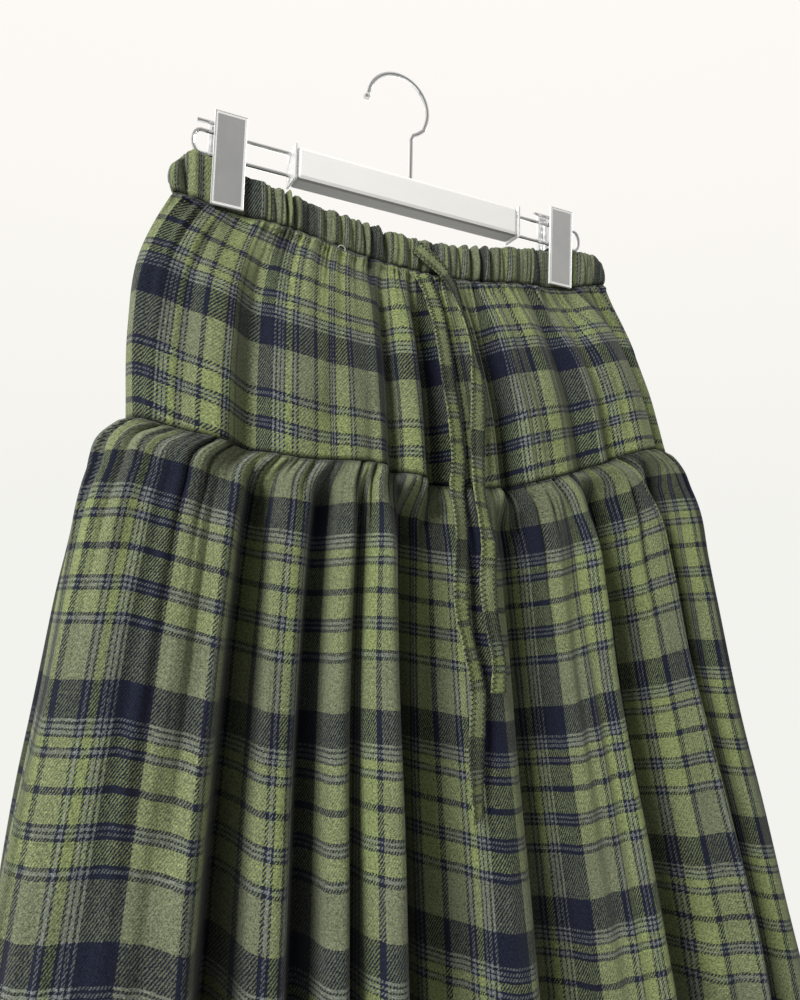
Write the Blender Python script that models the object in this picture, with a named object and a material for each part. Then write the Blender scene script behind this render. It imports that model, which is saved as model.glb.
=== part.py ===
"""A plaid flannel maxi skirt held by its waistband on a clip hanger.

Units are metres, +Z is up, the front of the skirt faces -Y and the viewer's right is +X.
Sizes are written in millimetres in the frame of the hanger: x from the middle of its bar,
y from the plane of its rods, z from the middle of its clip plates. An empty carries every
piece, and moves that frame so that the origin is the inner top of the hook, where it hangs.
"""
import math
from collections import namedtuple

import bmesh
import bpy
import numpy as np

MM = 0.001
SEAM_GAP = 0.3
WALL = 2.0

# Hanger sizes
BAR_HALF = 84.8
BAR_TOP = 22.2
BAR_BOTTOM = 0.2
BAR_DEPTH = 16.0
BAR_ROUND = 2.6
CAP_THICK = 1.4
ROD_RADIUS = 1.3
ROD_HIGH = 19.4
ROD_LOW = 4.4
ROD_REACH = {"left": -149.0, "right": 147.0}
HOOK_CENTRE_X = -10.5
HOOK_CENTRE_Z = 76.0
HOOK_RADIUS = 23.0
HOOK_WIRE = 1.5
HOOK_BALL = 2.5
CLIP_X = {"left": -128.0, "right": 124.0}
PLATE_WIDTH = 20.0
PLATE_HALF_HEIGHT = 29.4
PLATE_THICK = 2.0
PLATE_RIM = 1.3
PLATE_RECESS = 0.35
PLATE_CLAMP = 5.3
PLATE_LEAN = 0.036
PIN_Z = 25.5
PIN_RADIUS = 1.3
PIN_LEFT = 19.0
PIN_RIGHT = 9.0
SLIDER_WIDTH = 12.0

# Origin: the inner top of the hook
HANG = (HOOK_CENTRE_X, 0.0, HOOK_CENTRE_Z + HOOK_RADIUS - HOOK_WIRE)

# Cloth lines across the front and back, x then z, left to right
LinePoint = namedtuple("LinePoint", "x z")
WAIST_TOP = [
    LinePoint(-160, -8), LinePoint(-155, 0), LinePoint(-147, 2.5), LinePoint(-128, -2.5),
    LinePoint(-94, -9.5), LinePoint(-50, -16.5), LinePoint(0, -20.5), LinePoint(40, -17.5),
    LinePoint(85, -8.5), LinePoint(124, -1.5), LinePoint(150, 2.5), LinePoint(163, 1.5),
    LinePoint(171, -6),
]
WAIST_SEAM = [
    LinePoint(-160, -25), LinePoint(-128, -30.5), LinePoint(-85, -34), LinePoint(-40, -41),
    LinePoint(0, -43.5), LinePoint(48, -41.5), LinePoint(85, -35.5), LinePoint(124, -30.5),
    LinePoint(150, -24), LinePoint(171, -18),
]
HIP_SEAM = [
    LinePoint(-178, -166), LinePoint(-155, -172), LinePoint(-120, -179), LinePoint(-85, -184),
    LinePoint(-42, -183), LinePoint(0, -190), LinePoint(45, -192), LinePoint(85, -183),
    LinePoint(130, -169), LinePoint(170, -155), LinePoint(208, -150),
]
SEAM_SAG_LOST = 0.5

# Smooth outline of each level: drop below the seam above, reach to left and right of the
# bar's middle, distance of front and back from the line between the side seams, how far
# back of the rods' plane the left and right side seams lie, and how square the ends are
Level = namedtuple("Level", "drop left right front back left_back right_back square")
BAND_LEVELS = [
    Level(0, 160.0, 172.0, 8.4, 8.4, 0.0, 0.0, 3.2),
    Level(26, 159.0, 171.0, 8.0, 8.0, 0.0, 0.0, 3.2),
]
YOKE_LEVELS = [
    Level(0, 159.0, 171.0, 8.0, 8.0, 0.0, 0.0, 3.2),
    Level(12, 165.0, 178.0, 12.0, 10.5, 0.0, -1.0, 3.4),
    Level(42, 176.0, 194.0, 19.0, 15.0, 0.0, -4.0, 3.8),
    Level(90, 180.0, 206.0, 27.0, 20.0, 1.0, -8.0, 4.2),
    Level(146, 178.0, 208.0, 33.0, 24.0, 1.0, -10.0, 4.6),
]
TIER_LEVELS = [
    Level(0, 178.0, 208.0, 33.0, 24.0, 1.0, -10.0, 4.6),
    Level(10, 190.0, 219.0, 39.0, 29.0, 1.0, -10.0, 4.8),
    Level(32, 197.0, 229.0, 43.0, 33.0, 1.0, -10.0, 5.0),
    Level(80, 205.0, 239.0, 47.0, 37.0, 1.0, -11.0, 5.0),
    Level(170, 215.0, 254.0, 54.0, 41.0, 1.0, -13.0, 5.0),
    Level(320, 231.0, 286.0, 64.0, 46.0, 1.0, -16.0, 5.0),
    Level(690, 262.0, 350.0, 79.0, 54.0, 1.0, -22.0, 4.6),
]

# Folds: places across the cloth from 0, left side seam, to 1, right side seam, and how far the
# cloth stands out or in there, in millimetres, at the top and at the bottom of the panel
FoldPoint = namedtuple("FoldPoint", "place top_out low_out")
YOKE_FRONT_FOLDS = [
    FoldPoint(0, 0, 0), FoldPoint(0.05, -1, -2), FoldPoint(0.1, -1, -2), FoldPoint(0.15, 1, 2),
    FoldPoint(0.195, -5, -7), FoldPoint(0.23, 0, 0), FoldPoint(0.3, 2, 4), FoldPoint(0.36, 3, 5),
    FoldPoint(0.386, 3, 5), FoldPoint(0.404, -5, -6), FoldPoint(0.425, 2, 4), FoldPoint(0.443, 3, 5),
    FoldPoint(0.463, -6, -9), FoldPoint(0.487, -6, -8), FoldPoint(0.512, -2, -3),
    FoldPoint(0.555, -1, 2), FoldPoint(0.582, 2, 5), FoldPoint(0.6, -6, -9), FoldPoint(0.63, 1, 3),
    FoldPoint(0.67, 2, 5), FoldPoint(0.705, 3, 5), FoldPoint(0.735, -3, -4), FoldPoint(0.77, 2, 5),
    FoldPoint(0.81, -3, -4), FoldPoint(0.85, 1, 4), FoldPoint(0.89, 1, 6), FoldPoint(0.93, -3, -4),
    FoldPoint(0.965, 0, 0), FoldPoint(1, 0, 0),
]
YOKE_BACK_FOLDS = [
    FoldPoint(0, 0, 0), FoldPoint(0.06, -2, -3), FoldPoint(0.12, 1, 1), FoldPoint(0.19, -3, -4),
    FoldPoint(0.25, 1, 1), FoldPoint(0.3, 2, 4), FoldPoint(0.36, 0, 0), FoldPoint(0.4, -3, -5),
    FoldPoint(0.45, 1, 2), FoldPoint(0.5, 2, 4), FoldPoint(0.56, 1, 1), FoldPoint(0.62, -3, -4),
    FoldPoint(0.67, 1, 1), FoldPoint(0.73, 2, 3), FoldPoint(0.78, 0, 0), FoldPoint(0.83, -3, -5),
    FoldPoint(0.88, 0, 0), FoldPoint(0.93, -2, -3), FoldPoint(0.97, 0, 0), FoldPoint(1, 0, 0),
]
TIER_FRONT_FOLDS = [
    FoldPoint(0, 0, 0), FoldPoint(0.03, 1, 3), FoldPoint(0.08, 2, 9), FoldPoint(0.135, 2, 11),
    FoldPoint(0.19, 2, 9), FoldPoint(0.226, 5, 13), FoldPoint(0.247, -10, -24),
    FoldPoint(0.268, -5, -13), FoldPoint(0.288, 1, 3), FoldPoint(0.3, 2, 5), FoldPoint(0.316, -7, -17),
    FoldPoint(0.335, 1, 6), FoldPoint(0.351, 3, 8), FoldPoint(0.363, -4, -8), FoldPoint(0.376, 3, 8),
    FoldPoint(0.405, 7, 18), FoldPoint(0.428, -10, -26), FoldPoint(0.46, -7, -15),
    FoldPoint(0.495, -2, -3), FoldPoint(0.53, 4, 12), FoldPoint(0.556, 2, 7), FoldPoint(0.598, -8, -20),
    FoldPoint(0.632, 0, 4), FoldPoint(0.668, 4, 12), FoldPoint(0.702, 8, 20),
    FoldPoint(0.727, -11, -30), FoldPoint(0.757, -3, -8), FoldPoint(0.79, 3, 9),
    FoldPoint(0.826, 7, 17), FoldPoint(0.85, -9, -24), FoldPoint(0.873, 3, 8), FoldPoint(0.895, 5, 12),
    FoldPoint(0.915, 0, -2), FoldPoint(0.93, -3, -11), FoldPoint(0.955, -1, -3), FoldPoint(0.98, 0, 0),
    FoldPoint(1, 0, 0),
]
TIER_BACK_FOLDS = [
    FoldPoint(0, 0, 0), FoldPoint(0.04, 1, 3), FoldPoint(0.09, 2, 6), FoldPoint(0.13, -1, -2),
    FoldPoint(0.165, -5, -13), FoldPoint(0.2, 0, 0), FoldPoint(0.235, 3, 7), FoldPoint(0.27, -1, -2),
    FoldPoint(0.3, -6, -15), FoldPoint(0.335, 0, 0), FoldPoint(0.375, 3, 8), FoldPoint(0.42, 0, 0),
    FoldPoint(0.455, -5, -14), FoldPoint(0.49, 0, 0), FoldPoint(0.55, 3, 8), FoldPoint(0.6, 0, 0),
    FoldPoint(0.635, -6, -16), FoldPoint(0.67, 0, 0), FoldPoint(0.72, 3, 7), FoldPoint(0.755, 0, 0),
    FoldPoint(0.79, -5, -13), FoldPoint(0.825, 0, 0), FoldPoint(0.865, 3, 6), FoldPoint(0.9, -3, -8),
    FoldPoint(0.935, 0, 2), FoldPoint(0.97, 0, 0), FoldPoint(1, 0, 0),
]

YOKE_FOLDS = {"front": YOKE_FRONT_FOLDS, "back": YOKE_BACK_FOLDS}
TIER_FOLDS = {"front": TIER_FRONT_FOLDS, "back": TIER_BACK_FOLDS}

# Gathers: how many in a panel, how far they stand out, how far down they run
WAIST_GATHERS = {"front": 34, "back": 30}
TIER_GATHERS = {"front": 27, "back": 23}
COLUMNS_PER_GATHER = 4
RIDGE_OUT = 1.15
YOKE_PUCKER_OUT = 1.7
YOKE_PUCKER_RUN = 34.0
TIER_GATHER_OUT = 3.4
TIER_GATHER_RUN = 105.0
SEAM_TO_GATHERS = 11.0
SEAM_TO_FOLDS = 60.0
GATHER_SWELL = 0.9
FOLD_REACH = 1.5
YOKE_SEAM_TO_FOLDS = 48.0
YOKE_FOLD_FADE = 45.0

# Casing section from its lower edge: share up the casing, share of its thickness outward
SectionPoint = namedtuple("SectionPoint", "up out")
BAND_SECTION = [
    SectionPoint(0.04, 0.42), SectionPoint(0.45, 0.62), SectionPoint(0.93, 0.40),
    SectionPoint(0.98, -0.34), SectionPoint(0.5, -0.5), SectionPoint(0.03, -0.36),
]
BAND_THICK = 4.4
BAND_LEAN_IN = 0.4
BAND_INNER_RIDGE = 0.55

# Where the clip plates press the casing and the cloth below it
CLAMPED_THICK = 4.0
CLAMP_HALF = 11.5
CLAMP_FADE = 12.0
CLAMP_RUN = 46.0
CLAMP_SPREAD = 0.6
CLAMP_OPENING = 0.24

# Ties: flat tape out of the slit in the front casing. Each row is a point of the route, and
# how far the tape's width is turned about the route there, in degrees
TIE_WIDTH = 11.0
TIE_THICK = 1.4
TIE_STATIONS = 34
TiePoint = namedtuple("TiePoint", "x y z turn")
TIE_SHORT = [
    TiePoint(0.0, -9.95, -27.5, 0), TiePoint(6.5, -13.4, -34, 0), TiePoint(14.5, -14.8, -40, 5),
    TiePoint(22.5, -17.6, -51, 20), TiePoint(26.3, -22.8, -67, 40), TiePoint(29.4, -29.2, -86, 50),
    TiePoint(31.6, -34.4, -106, 40), TiePoint(32.2, -37.6, -120, 15), TiePoint(30.6, -41.6, -141, 0),
    TiePoint(28.2, -45.2, -162, 0), TiePoint(26.6, -48.6, -182, 10), TiePoint(25.5, -52.6, -198, 20),
    TiePoint(25.4, -57.9, -214, 15), TiePoint(26.4, -61.6, -231, 0), TiePoint(25.0, -63.1, -252, -10),
    TiePoint(25.6, -65.2, -270, 0), TiePoint(27.6, -67.6, -287, 12), TiePoint(29.0, -69.6, -301, 10),
    TiePoint(27.6, -70.6, -317, 0),
]
TIE_LONG = [
    TiePoint(4.0, -11.45, -47, 0), TiePoint(7.6, -16.6, -60, 0), TiePoint(10.0, -22.0, -75, 0),
    TiePoint(12.0, -28.8, -100, 5), TiePoint(13.2, -33.8, -125, 10), TiePoint(15.8, -38.6, -155, 10),
    TiePoint(17.0, -40.8, -178, 0), TiePoint(14.6, -43.4, -196, 0), TiePoint(13.4, -48.4, -208, 10),
    TiePoint(12.7, -52.2, -221, 15), TiePoint(11.8, -54.4, -240, 10), TiePoint(10.7, -56.0, -258, 0),
    TiePoint(10.6, -58.0, -272, 8), TiePoint(12.6, -60.8, -286, 15), TiePoint(15.4, -63.2, -301, 10),
    TiePoint(17.6, -65.2, -318, 0), TiePoint(16.4, -66.4, -332, 0), TiePoint(15.4, -67.2, -346, 0),
    TiePoint(15.0, -68.2, -360, 10), TiePoint(15.2, -69.0, -374, 20), TiePoint(15.4, -69.8, -386, 25),
]


def smooth_through(xs, ys, x):
    """Values at x of a smooth curve through the points (xs, ys)."""
    xs = np.asarray(xs, float)
    ys = np.asarray(ys, float)
    slope = np.gradient(ys, xs)
    x = np.clip(np.asarray(x, float), xs[0], xs[-1])
    k = np.clip(np.searchsorted(xs, x, side="right") - 1, 0, len(xs) - 2)
    step = xs[k + 1] - xs[k]
    t = (x - xs[k]) / step
    return (ys[k] * (1 + 2 * t) * (1 - t) ** 2 + ys[k + 1] * t * t * (3 - 2 * t)
            + step * (slope[k] * t * (1 - t) ** 2 - slope[k + 1] * t * t * (1 - t)))


def line_height(line, x):
    """Height of a cloth line, such as a seam, at x."""
    return smooth_through([p.x for p in line], [p.z for p in line], x)


def level_at(levels, drop):
    """The outline's sizes at a drop below the seam, read smoothly from the table."""
    drops = [row.drop for row in levels]
    values = [float(smooth_through(drops, [row[i] for row in levels], drop))
              for i in range(1, len(Level._fields))]
    return Level(drop, *values)


def smooth_step(x):
    """Soft step from 0 at x <= 0 to 1 at x >= 1."""
    x = np.clip(x, 0.0, 1.0)
    return x * x * (3 - 2 * x)


def outline(level, side, places):
    """Points and outward normals at places, 0 to 1, along a panel's outline."""
    depth = level.front if side == "front" else level.back
    sign = -1.0 if side == "front" else 1.0
    middle = (level.right - level.left) / 2
    half = (level.right + level.left) / 2
    angle = np.linspace(0, math.pi, 721)
    power = 2 / level.square
    across = -np.sign(np.cos(angle)) * np.abs(np.cos(angle)) ** power
    x = middle + half * across
    side_y = level.left_back + (level.right_back - level.left_back) * (across + 1) / 2
    y = side_y + sign * depth * np.abs(np.sin(angle)) ** power
    run = np.concatenate([[0], np.cumsum(np.hypot(np.diff(x), np.diff(y)))])
    at = np.clip(places, 0, 1) * run[-1]
    tangent_x = np.interp(at, run, np.gradient(x, run))
    tangent_y = np.interp(at, run, np.gradient(y, run))
    size = np.hypot(tangent_x, tangent_y)
    normals = np.stack([-sign * tangent_y, sign * tangent_x], 1) / size[:, None]
    normals[0] = (-1, 0)
    normals[-1] = (1, 0)
    points = np.stack([np.interp(at, run, x), np.interp(at, run, y)], 1)
    return points, normals


def cloth_shares(count):
    """Even places across the cloth, 0 to 1, of the columns of a panel with so many gathers."""
    return np.arange(count * COLUMNS_PER_GATHER + 1) / (count * COLUMNS_PER_GATHER)


def gather_places(count, side):
    """Uneven places, 0 to 1, along the outline of a panel's columns."""
    q = cloth_shares(count)
    turn = 0.0 if side == "front" else 1.7
    return (q + 0.006 * (np.sin(2 * math.pi * 3 * q + turn) - math.sin(turn))
            + 0.0026 * (np.sin(2 * math.pi * 7 * q + 2 * turn) - math.sin(2 * turn)))


def gather_wave(count, side):
    """Height, -1 to 1, of the gathers at each column, with uneven sizes."""
    gather = cloth_shares(count) * count
    turn = 0.4 if side == "front" else 2.1
    uneven = 0.82 + 0.18 * np.sin(gather * 1.9 + turn) + 0.12 * np.sin(gather * 0.83 + 2 * turn)
    ends = smooth_step(np.minimum(gather, count - gather) / 1.5)
    return -np.cos(2 * math.pi * gather) * uneven * ends


def gather_runs(count, side):
    """How much longer or shorter than the mean each gather runs down."""
    gather = cloth_shares(count) * count
    turn = 0.9 if side == "front" else 2.8
    return 1.0 + 0.35 * np.sin(gather * 2.7 + turn) + 0.3 * np.sin(gather * 1.13 + 2 * turn)


def fold_depth(folds, shares, down):
    """How far a panel's folds stand out at shares across the cloth, for a share down the panel."""
    places = [point.place for point in folds]
    top = smooth_through(places, [point.top_out for point in folds], shares)
    low = smooth_through(places, [point.low_out for point in folds], shares)
    return top + (low - top) * down


def clamp_share(x):
    """1 where a clip plate presses the cloth, 0 well away from it."""
    share = np.zeros_like(x)
    for clip_x in CLIP_X.values():
        share = np.maximum(share, 1 - smooth_step((np.abs(x - clip_x) - CLAMP_HALF) / CLAMP_FADE))
    return share


def part_from_side_seam(points, side):
    """Draw a panel's two ends back from the side seams, to leave half a seam gap there."""
    sign = -1.0 if side == "front" else 1.0
    for end in (0, -1):
        points[..., end, 1] += sign * SEAM_GAP / 2
    return points


def row_points(level, side, places, out, height_line):
    """One ring row of a panel: outer and inner points for displacements outward."""
    base, normals = outline(level, side, places)
    height = height_line(base[:, 0])
    rows = []
    for inward in (0.0, WALL):
        moved = base + normals * (out(base) - inward)[:, None]
        rows.append(np.column_stack([moved, height]))
    return rows


def panel_rows(side, count, levels, out, height_line):
    """Outer and inner grids of a panel, from its top row to its bottom row."""
    places = gather_places(count, side)
    outer = []
    inner = []
    for level in levels:
        top, low = row_points(level, side, places,
                              lambda base, drop=level.drop: out(drop, base),
                              lambda x, drop=level.drop: height_line(drop, x))
        outer.append(top)
        inner.append(low)
    outer = part_from_side_seam(np.array(outer), side)
    inner = part_from_side_seam(np.array(inner), side)
    return outer, inner


def yoke_out(side):
    """Displacement of the yoke: casing puckers and clip pinch at the top, folds below."""
    count = WAIST_GATHERS[side]
    folds = YOKE_FOLDS[side]
    height = YOKE_LEVELS[-1].drop
    shares = cloth_shares(count)
    wave = gather_wave(count, side)
    runs = gather_runs(count, side)

    def out(drop, base):
        pinch = clamp_share(base[:, 0])
        pressed_in = np.abs(base[:, 1]) - (CLAMPED_THICK + SEAM_GAP + drop * CLAMP_OPENING)
        puckers = YOKE_PUCKER_OUT * wave * np.exp(-drop / (YOKE_PUCKER_RUN * runs)) * (1 - pinch)
        below_clip = pinch * math.exp(-(drop / CLAMP_RUN) ** 2)
        folded = fold_depth(folds, shares, drop / height) * smooth_step(drop / YOKE_SEAM_TO_FOLDS)
        return puckers - pressed_in * below_clip + folded * (1 - below_clip)
    return out


def tier_out(side):
    """Displacement of the lower tier: the yoke's folds at the seam, then gathers and folds."""
    count = TIER_GATHERS[side]
    folds = TIER_FOLDS[side]
    yoke_folds = YOKE_FOLDS[side]
    height = TIER_LEVELS[-1].drop
    shares = cloth_shares(count)
    wave = gather_wave(count, side)
    runs = gather_runs(count, side)

    def out(drop, base):
        from_yoke = fold_depth(yoke_folds, shares, 1.0) * math.exp(-drop / YOKE_FOLD_FADE)
        below_seam = smooth_step(drop / SEAM_TO_FOLDS)
        rise = smooth_step(drop / SEAM_TO_GATHERS) * (1 + GATHER_SWELL * below_seam)
        gathers = TIER_GATHER_OUT * wave * rise * np.exp(-drop / (TIER_GATHER_RUN * runs))
        own = fold_depth(folds, shares, min(1.0, drop / height * FOLD_REACH)) * below_seam
        return from_yoke + gathers + own
    return out


def yoke_height(drop, x):
    """Height of the yoke's row, between the casing seam and the hip seam."""
    share = drop / YOKE_LEVELS[-1].drop
    top = line_height(WAIST_SEAM, x) - SEAM_GAP
    return top + (line_height(HIP_SEAM, x) - top) * share


def tier_height(drop, x):
    """Height of the lower tier's row, whose hem keeps most of the hip seam's sag."""
    share = drop / TIER_LEVELS[-1].drop
    seam = line_height(HIP_SEAM, x)
    middle = HIP_SEAM[4].z
    even = 1 - SEAM_SAG_LOST * share
    return middle + (seam - middle) * even - drop - SEAM_GAP


def new_object(name, mesh, material, root):
    """Link an object for a mesh, in its material, carried by the empty."""
    piece = bpy.data.objects.new(name, mesh)
    mesh.materials.append(material)
    bpy.context.scene.collection.objects.link(piece)
    piece.parent = root
    return piece


def closed_sheet(name, outer, inner, flip):
    """A closed wall between an outer and an inner grid of points, in millimetres."""
    rows, columns = outer.shape[:2]
    mesh = bpy.data.meshes.new(name)
    work = bmesh.new()
    sheets = [[[work.verts.new(grid[r, c] * MM) for c in range(columns)] for r in range(rows)]
              for grid in (outer, inner)]

    def face(*corners):
        work.faces.new(corners[::-1] if flip else corners)

    for r in range(rows - 1):
        for c in range(columns - 1):
            for sheet, turn in ((sheets[0], False), (sheets[1], True)):
                quad = (sheet[r][c], sheet[r + 1][c], sheet[r + 1][c + 1], sheet[r][c + 1])
                face(*(quad[::-1] if turn else quad))
    out, back = sheets
    for c in range(columns - 1):
        face(out[0][c + 1], back[0][c + 1], back[0][c], out[0][c])
        face(out[-1][c], back[-1][c], back[-1][c + 1], out[-1][c + 1])
    for r in range(rows - 1):
        face(out[r][0], back[r][0], back[r + 1][0], out[r + 1][0])
        face(out[r + 1][-1], back[r + 1][-1], back[r][-1], out[r][-1])
    bmesh.ops.triangulate(work, faces=work.faces[:])
    work.to_mesh(mesh)
    work.free()
    mesh.shade_smooth()
    mesh.set_sharp_from_angle(angle=math.radians(50))
    return mesh


def make_panel(name, side, count, levels, out, height_line, material, root):
    """One cloth panel as a closed wall."""
    outer, inner = panel_rows(side, count, levels, out, height_line)
    mesh = closed_sheet(name, outer, inner, side == "back")
    return new_object(name, mesh, material, root)


def make_band(side, material, root):
    """Half of the gathered casing: a rounded section swept round with a ridge per gather."""
    sign = -1.0 if side == "front" else 1.0
    count = WAIST_GATHERS[side]
    places = gather_places(count, side)
    wave = gather_wave(count, side)
    rows = []
    for up, share in BAND_SECTION:
        level = level_at(BAND_LEVELS, BAND_LEVELS[-1].drop * (1 - up))
        base, normals = outline(level, side, places)
        x = base[:, 0]
        clamp = clamp_share(x)
        free_in = BAND_THICK / 2 + BAND_LEAN_IN * up
        pressed_in = np.abs(base[:, 1]) - (CLAMPED_THICK / 2 + SEAM_GAP + up * CLAMP_SPREAD)
        inward = free_in + (pressed_in - free_in) * clamp
        thick = BAND_THICK + (CLAMPED_THICK - BAND_THICK) * clamp
        ridge = RIDGE_OUT * wave * (1 - clamp) * (1.0 if share > 0 else BAND_INNER_RIDGE)
        low = line_height(WAIST_SEAM, x)
        high = line_height(WAIST_TOP, x)
        moved = base + normals * (thick * share + ridge - inward)[:, None]
        own_side = np.maximum(np.abs(moved[:, 1]) * (moved[:, 1] * sign > 0), SEAM_GAP / 2)
        rows.append(np.column_stack([moved[:, 0], sign * own_side, low + (high - low) * up]))
    grid = np.array(rows)
    mesh = bpy.data.meshes.new("waistband_" + side)
    work = bmesh.new()
    rings = [[work.verts.new(point * MM) for point in grid[:, c]] for c in range(grid.shape[1])]
    for a, b in zip(rings, rings[1:]):
        for i in range(len(BAND_SECTION)):
            j = (i + 1) % len(BAND_SECTION)
            quad = (a[i], b[i], b[j], a[j])
            work.faces.new(quad if side == "front" else quad[::-1])
    work.faces.new(rings[0] if side == "front" else rings[0][::-1])
    work.faces.new(rings[-1][::-1] if side == "front" else rings[-1])
    bmesh.ops.triangulate(work, faces=work.faces[:])
    work.to_mesh(mesh)
    work.free()
    mesh.shade_smooth()
    mesh.set_sharp_from_angle(angle=math.radians(60))
    return new_object("waistband_" + side, mesh, material, root)


def make_tie(name, route, material, root):
    """A flat tape swept along its route, turned as the route's rows say."""
    rows = np.array(route, float)
    run = np.concatenate([[0], np.cumsum(np.linalg.norm(np.diff(rows[:, :3], axis=0), axis=1))])
    at = np.linspace(0, run[-1], TIE_STATIONS)
    smooth = np.column_stack([smooth_through(run, rows[:, i], at) for i in range(4)])
    tangent = np.gradient(smooth[:, :3], axis=0)
    tangent /= np.linalg.norm(tangent, axis=1)[:, None]
    mesh = bpy.data.meshes.new(name)
    work = bmesh.new()
    rings = []
    for place, along, turn in zip(smooth[:, :3], tangent, np.radians(smooth[:, 3])):
        across = np.cross(along, (0.0, -1.0, 0.0))
        across /= np.linalg.norm(across)
        outward = np.cross(across, along)
        wide = across * math.cos(turn) + outward * math.sin(turn)
        thick = np.cross(wide, along)
        ring = [place + wide * w * TIE_WIDTH / 2 + thick * t * TIE_THICK / 2
                for w, t in ((-1, -1), (1, -1), (1, 1), (-1, 1))]
        rings.append([work.verts.new(point * MM) for point in ring])
    for a, b in zip(rings, rings[1:]):
        for i in range(4):
            j = (i + 1) % 4
            work.faces.new((a[i], a[j], b[j], b[i]))
    work.faces.new(rings[0][::-1])
    work.faces.new(rings[-1])
    bmesh.ops.recalc_face_normals(work, faces=work.faces[:])
    bmesh.ops.triangulate(work, faces=work.faces[:])
    work.to_mesh(mesh)
    work.free()
    mesh.shade_smooth()
    mesh.set_sharp_from_angle(angle=math.radians(40))
    return new_object(name, mesh, material, root)


def make_material(name, colour, roughness, metallic=0.0):
    """A plain material with a colour, a roughness and a metallic value."""
    material = bpy.data.materials.new(name)
    material.use_nodes = True
    shader = material.node_tree.nodes["Principled BSDF"]
    shader.inputs["Base Color"].default_value = (*colour, 1.0)
    shader.inputs["Roughness"].default_value = roughness
    shader.inputs["Metallic"].default_value = metallic
    return material


def make_wire(name, points, radius, material, root, radii=None):
    """A round wire along points, as a filled curve."""
    curve = bpy.data.curves.new(name, "CURVE")
    curve.dimensions = "3D"
    curve.bevel_depth = radius * MM
    curve.bevel_resolution = 2
    curve.use_fill_caps = True
    spline = curve.splines.new("POLY")
    spline.points.add(len(points) - 1)
    for index, (x, y, z) in enumerate(points):
        spline.points[index].co = (x * MM, y * MM, z * MM, 1.0)
        if radii:
            spline.points[index].radius = radii[index]
    piece = bpy.data.objects.new(name, curve)
    curve.materials.append(material)
    bpy.context.scene.collection.objects.link(piece)
    piece.parent = root
    return piece


def arc(centre_x, centre_z, radius, start, end, count):
    """Points of an arc in the plane of the rods, angles in degrees from +X."""
    angles = np.radians(np.linspace(start, end, count))
    return [(centre_x + radius * math.cos(a), 0.0, centre_z + radius * math.sin(a)) for a in angles]


def make_hook(material, root):
    """The hook: ball end, round top, kink to the neck, straight stem into the bar."""
    points = arc(HOOK_CENTRE_X, HOOK_CENTRE_Z, HOOK_RADIUS, 172, -18, 22)
    ball = points[0]
    tip = [(ball[0] - 0.4 * i, 0.0, ball[2] - 1.3 * i) for i in (4.2, 3.9, 3.3, 2.4, 1.5, 0.8)]
    swell = [0.45, 1.15, HOOK_BALL / HOOK_WIRE, HOOK_BALL / HOOK_WIRE, 1.25, 1.0]
    neck = [(9.6, 0, 63.6), (5.4, 0, 60.0), (1.6, 0, 57.6), (0.0, 0, 53.8), (0.0, 0, 47.0)]
    stem = [(0.0, 0.0, BAR_TOP + SEAM_GAP)]
    route = tip + points + neck + stem
    radii = swell + [1.0] * (len(route) - len(swell))
    return make_wire("hanger_hook", route, HOOK_WIRE, material, root, radii)


def make_block(name, size, centre, bevel, material, root):
    """A rounded block."""
    mesh = bpy.data.meshes.new(name)
    work = bmesh.new()
    bmesh.ops.create_cube(work, size=1.0)
    bmesh.ops.scale(work, vec=[s * MM for s in size], verts=work.verts)
    bmesh.ops.bevel(work, geom=work.edges[:], offset=bevel * MM, segments=2, profile=0.5,
                    affect="EDGES")
    work.to_mesh(mesh)
    work.free()
    mesh.shade_smooth()
    mesh.set_sharp_from_angle(angle=math.radians(35))
    piece = new_object(name, mesh, material, root)
    piece.location = [c * MM for c in centre]
    return piece


def make_bar(white, clear, root):
    """The hanger's bar with a thin cap at each end."""
    height = BAR_TOP - BAR_BOTTOM
    middle = (BAR_TOP + BAR_BOTTOM) / 2
    make_block("hanger_bar", (2 * BAR_HALF, BAR_DEPTH, height), (0, 0, middle), BAR_ROUND, white, root)
    for side, sign in (("left", -1), ("right", 1)):
        x = sign * (BAR_HALF + SEAM_GAP + CAP_THICK / 2)
        make_block("bar_cap_" + side, (CAP_THICK, BAR_DEPTH + 1.0, height + 1.4), (x, 0, middle), 0.3,
                   clear, root)


def make_rods(metal, root):
    """A wire loop at each end of the bar, on which a clip slides."""
    start = BAR_HALF + 2 * SEAM_GAP + CAP_THICK
    for side, sign in (("left", -1), ("right", 1)):
        middle = (ROD_HIGH + ROD_LOW) / 2
        bend = (ROD_HIGH - ROD_LOW) / 2
        turn_x = ROD_REACH[side] - sign * bend * 0.6
        points = [(sign * start, 0.0, ROD_HIGH)]
        points += [(turn_x + sign * bend * 0.6 * math.sin(a), 0.0, middle + bend * math.cos(a))
                   for a in np.linspace(0, math.pi, 9)]
        points += [(sign * start, 0.0, ROD_LOW)]
        make_wire("rod_" + side, points, ROD_RADIUS, metal, root)


def plate_inner(z):
    """Distance of a clip plate's inner face from the plane of the rods, at a height."""
    return PLATE_CLAMP + (z + PLATE_HALF_HEIGHT) * PLATE_LEAN


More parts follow.
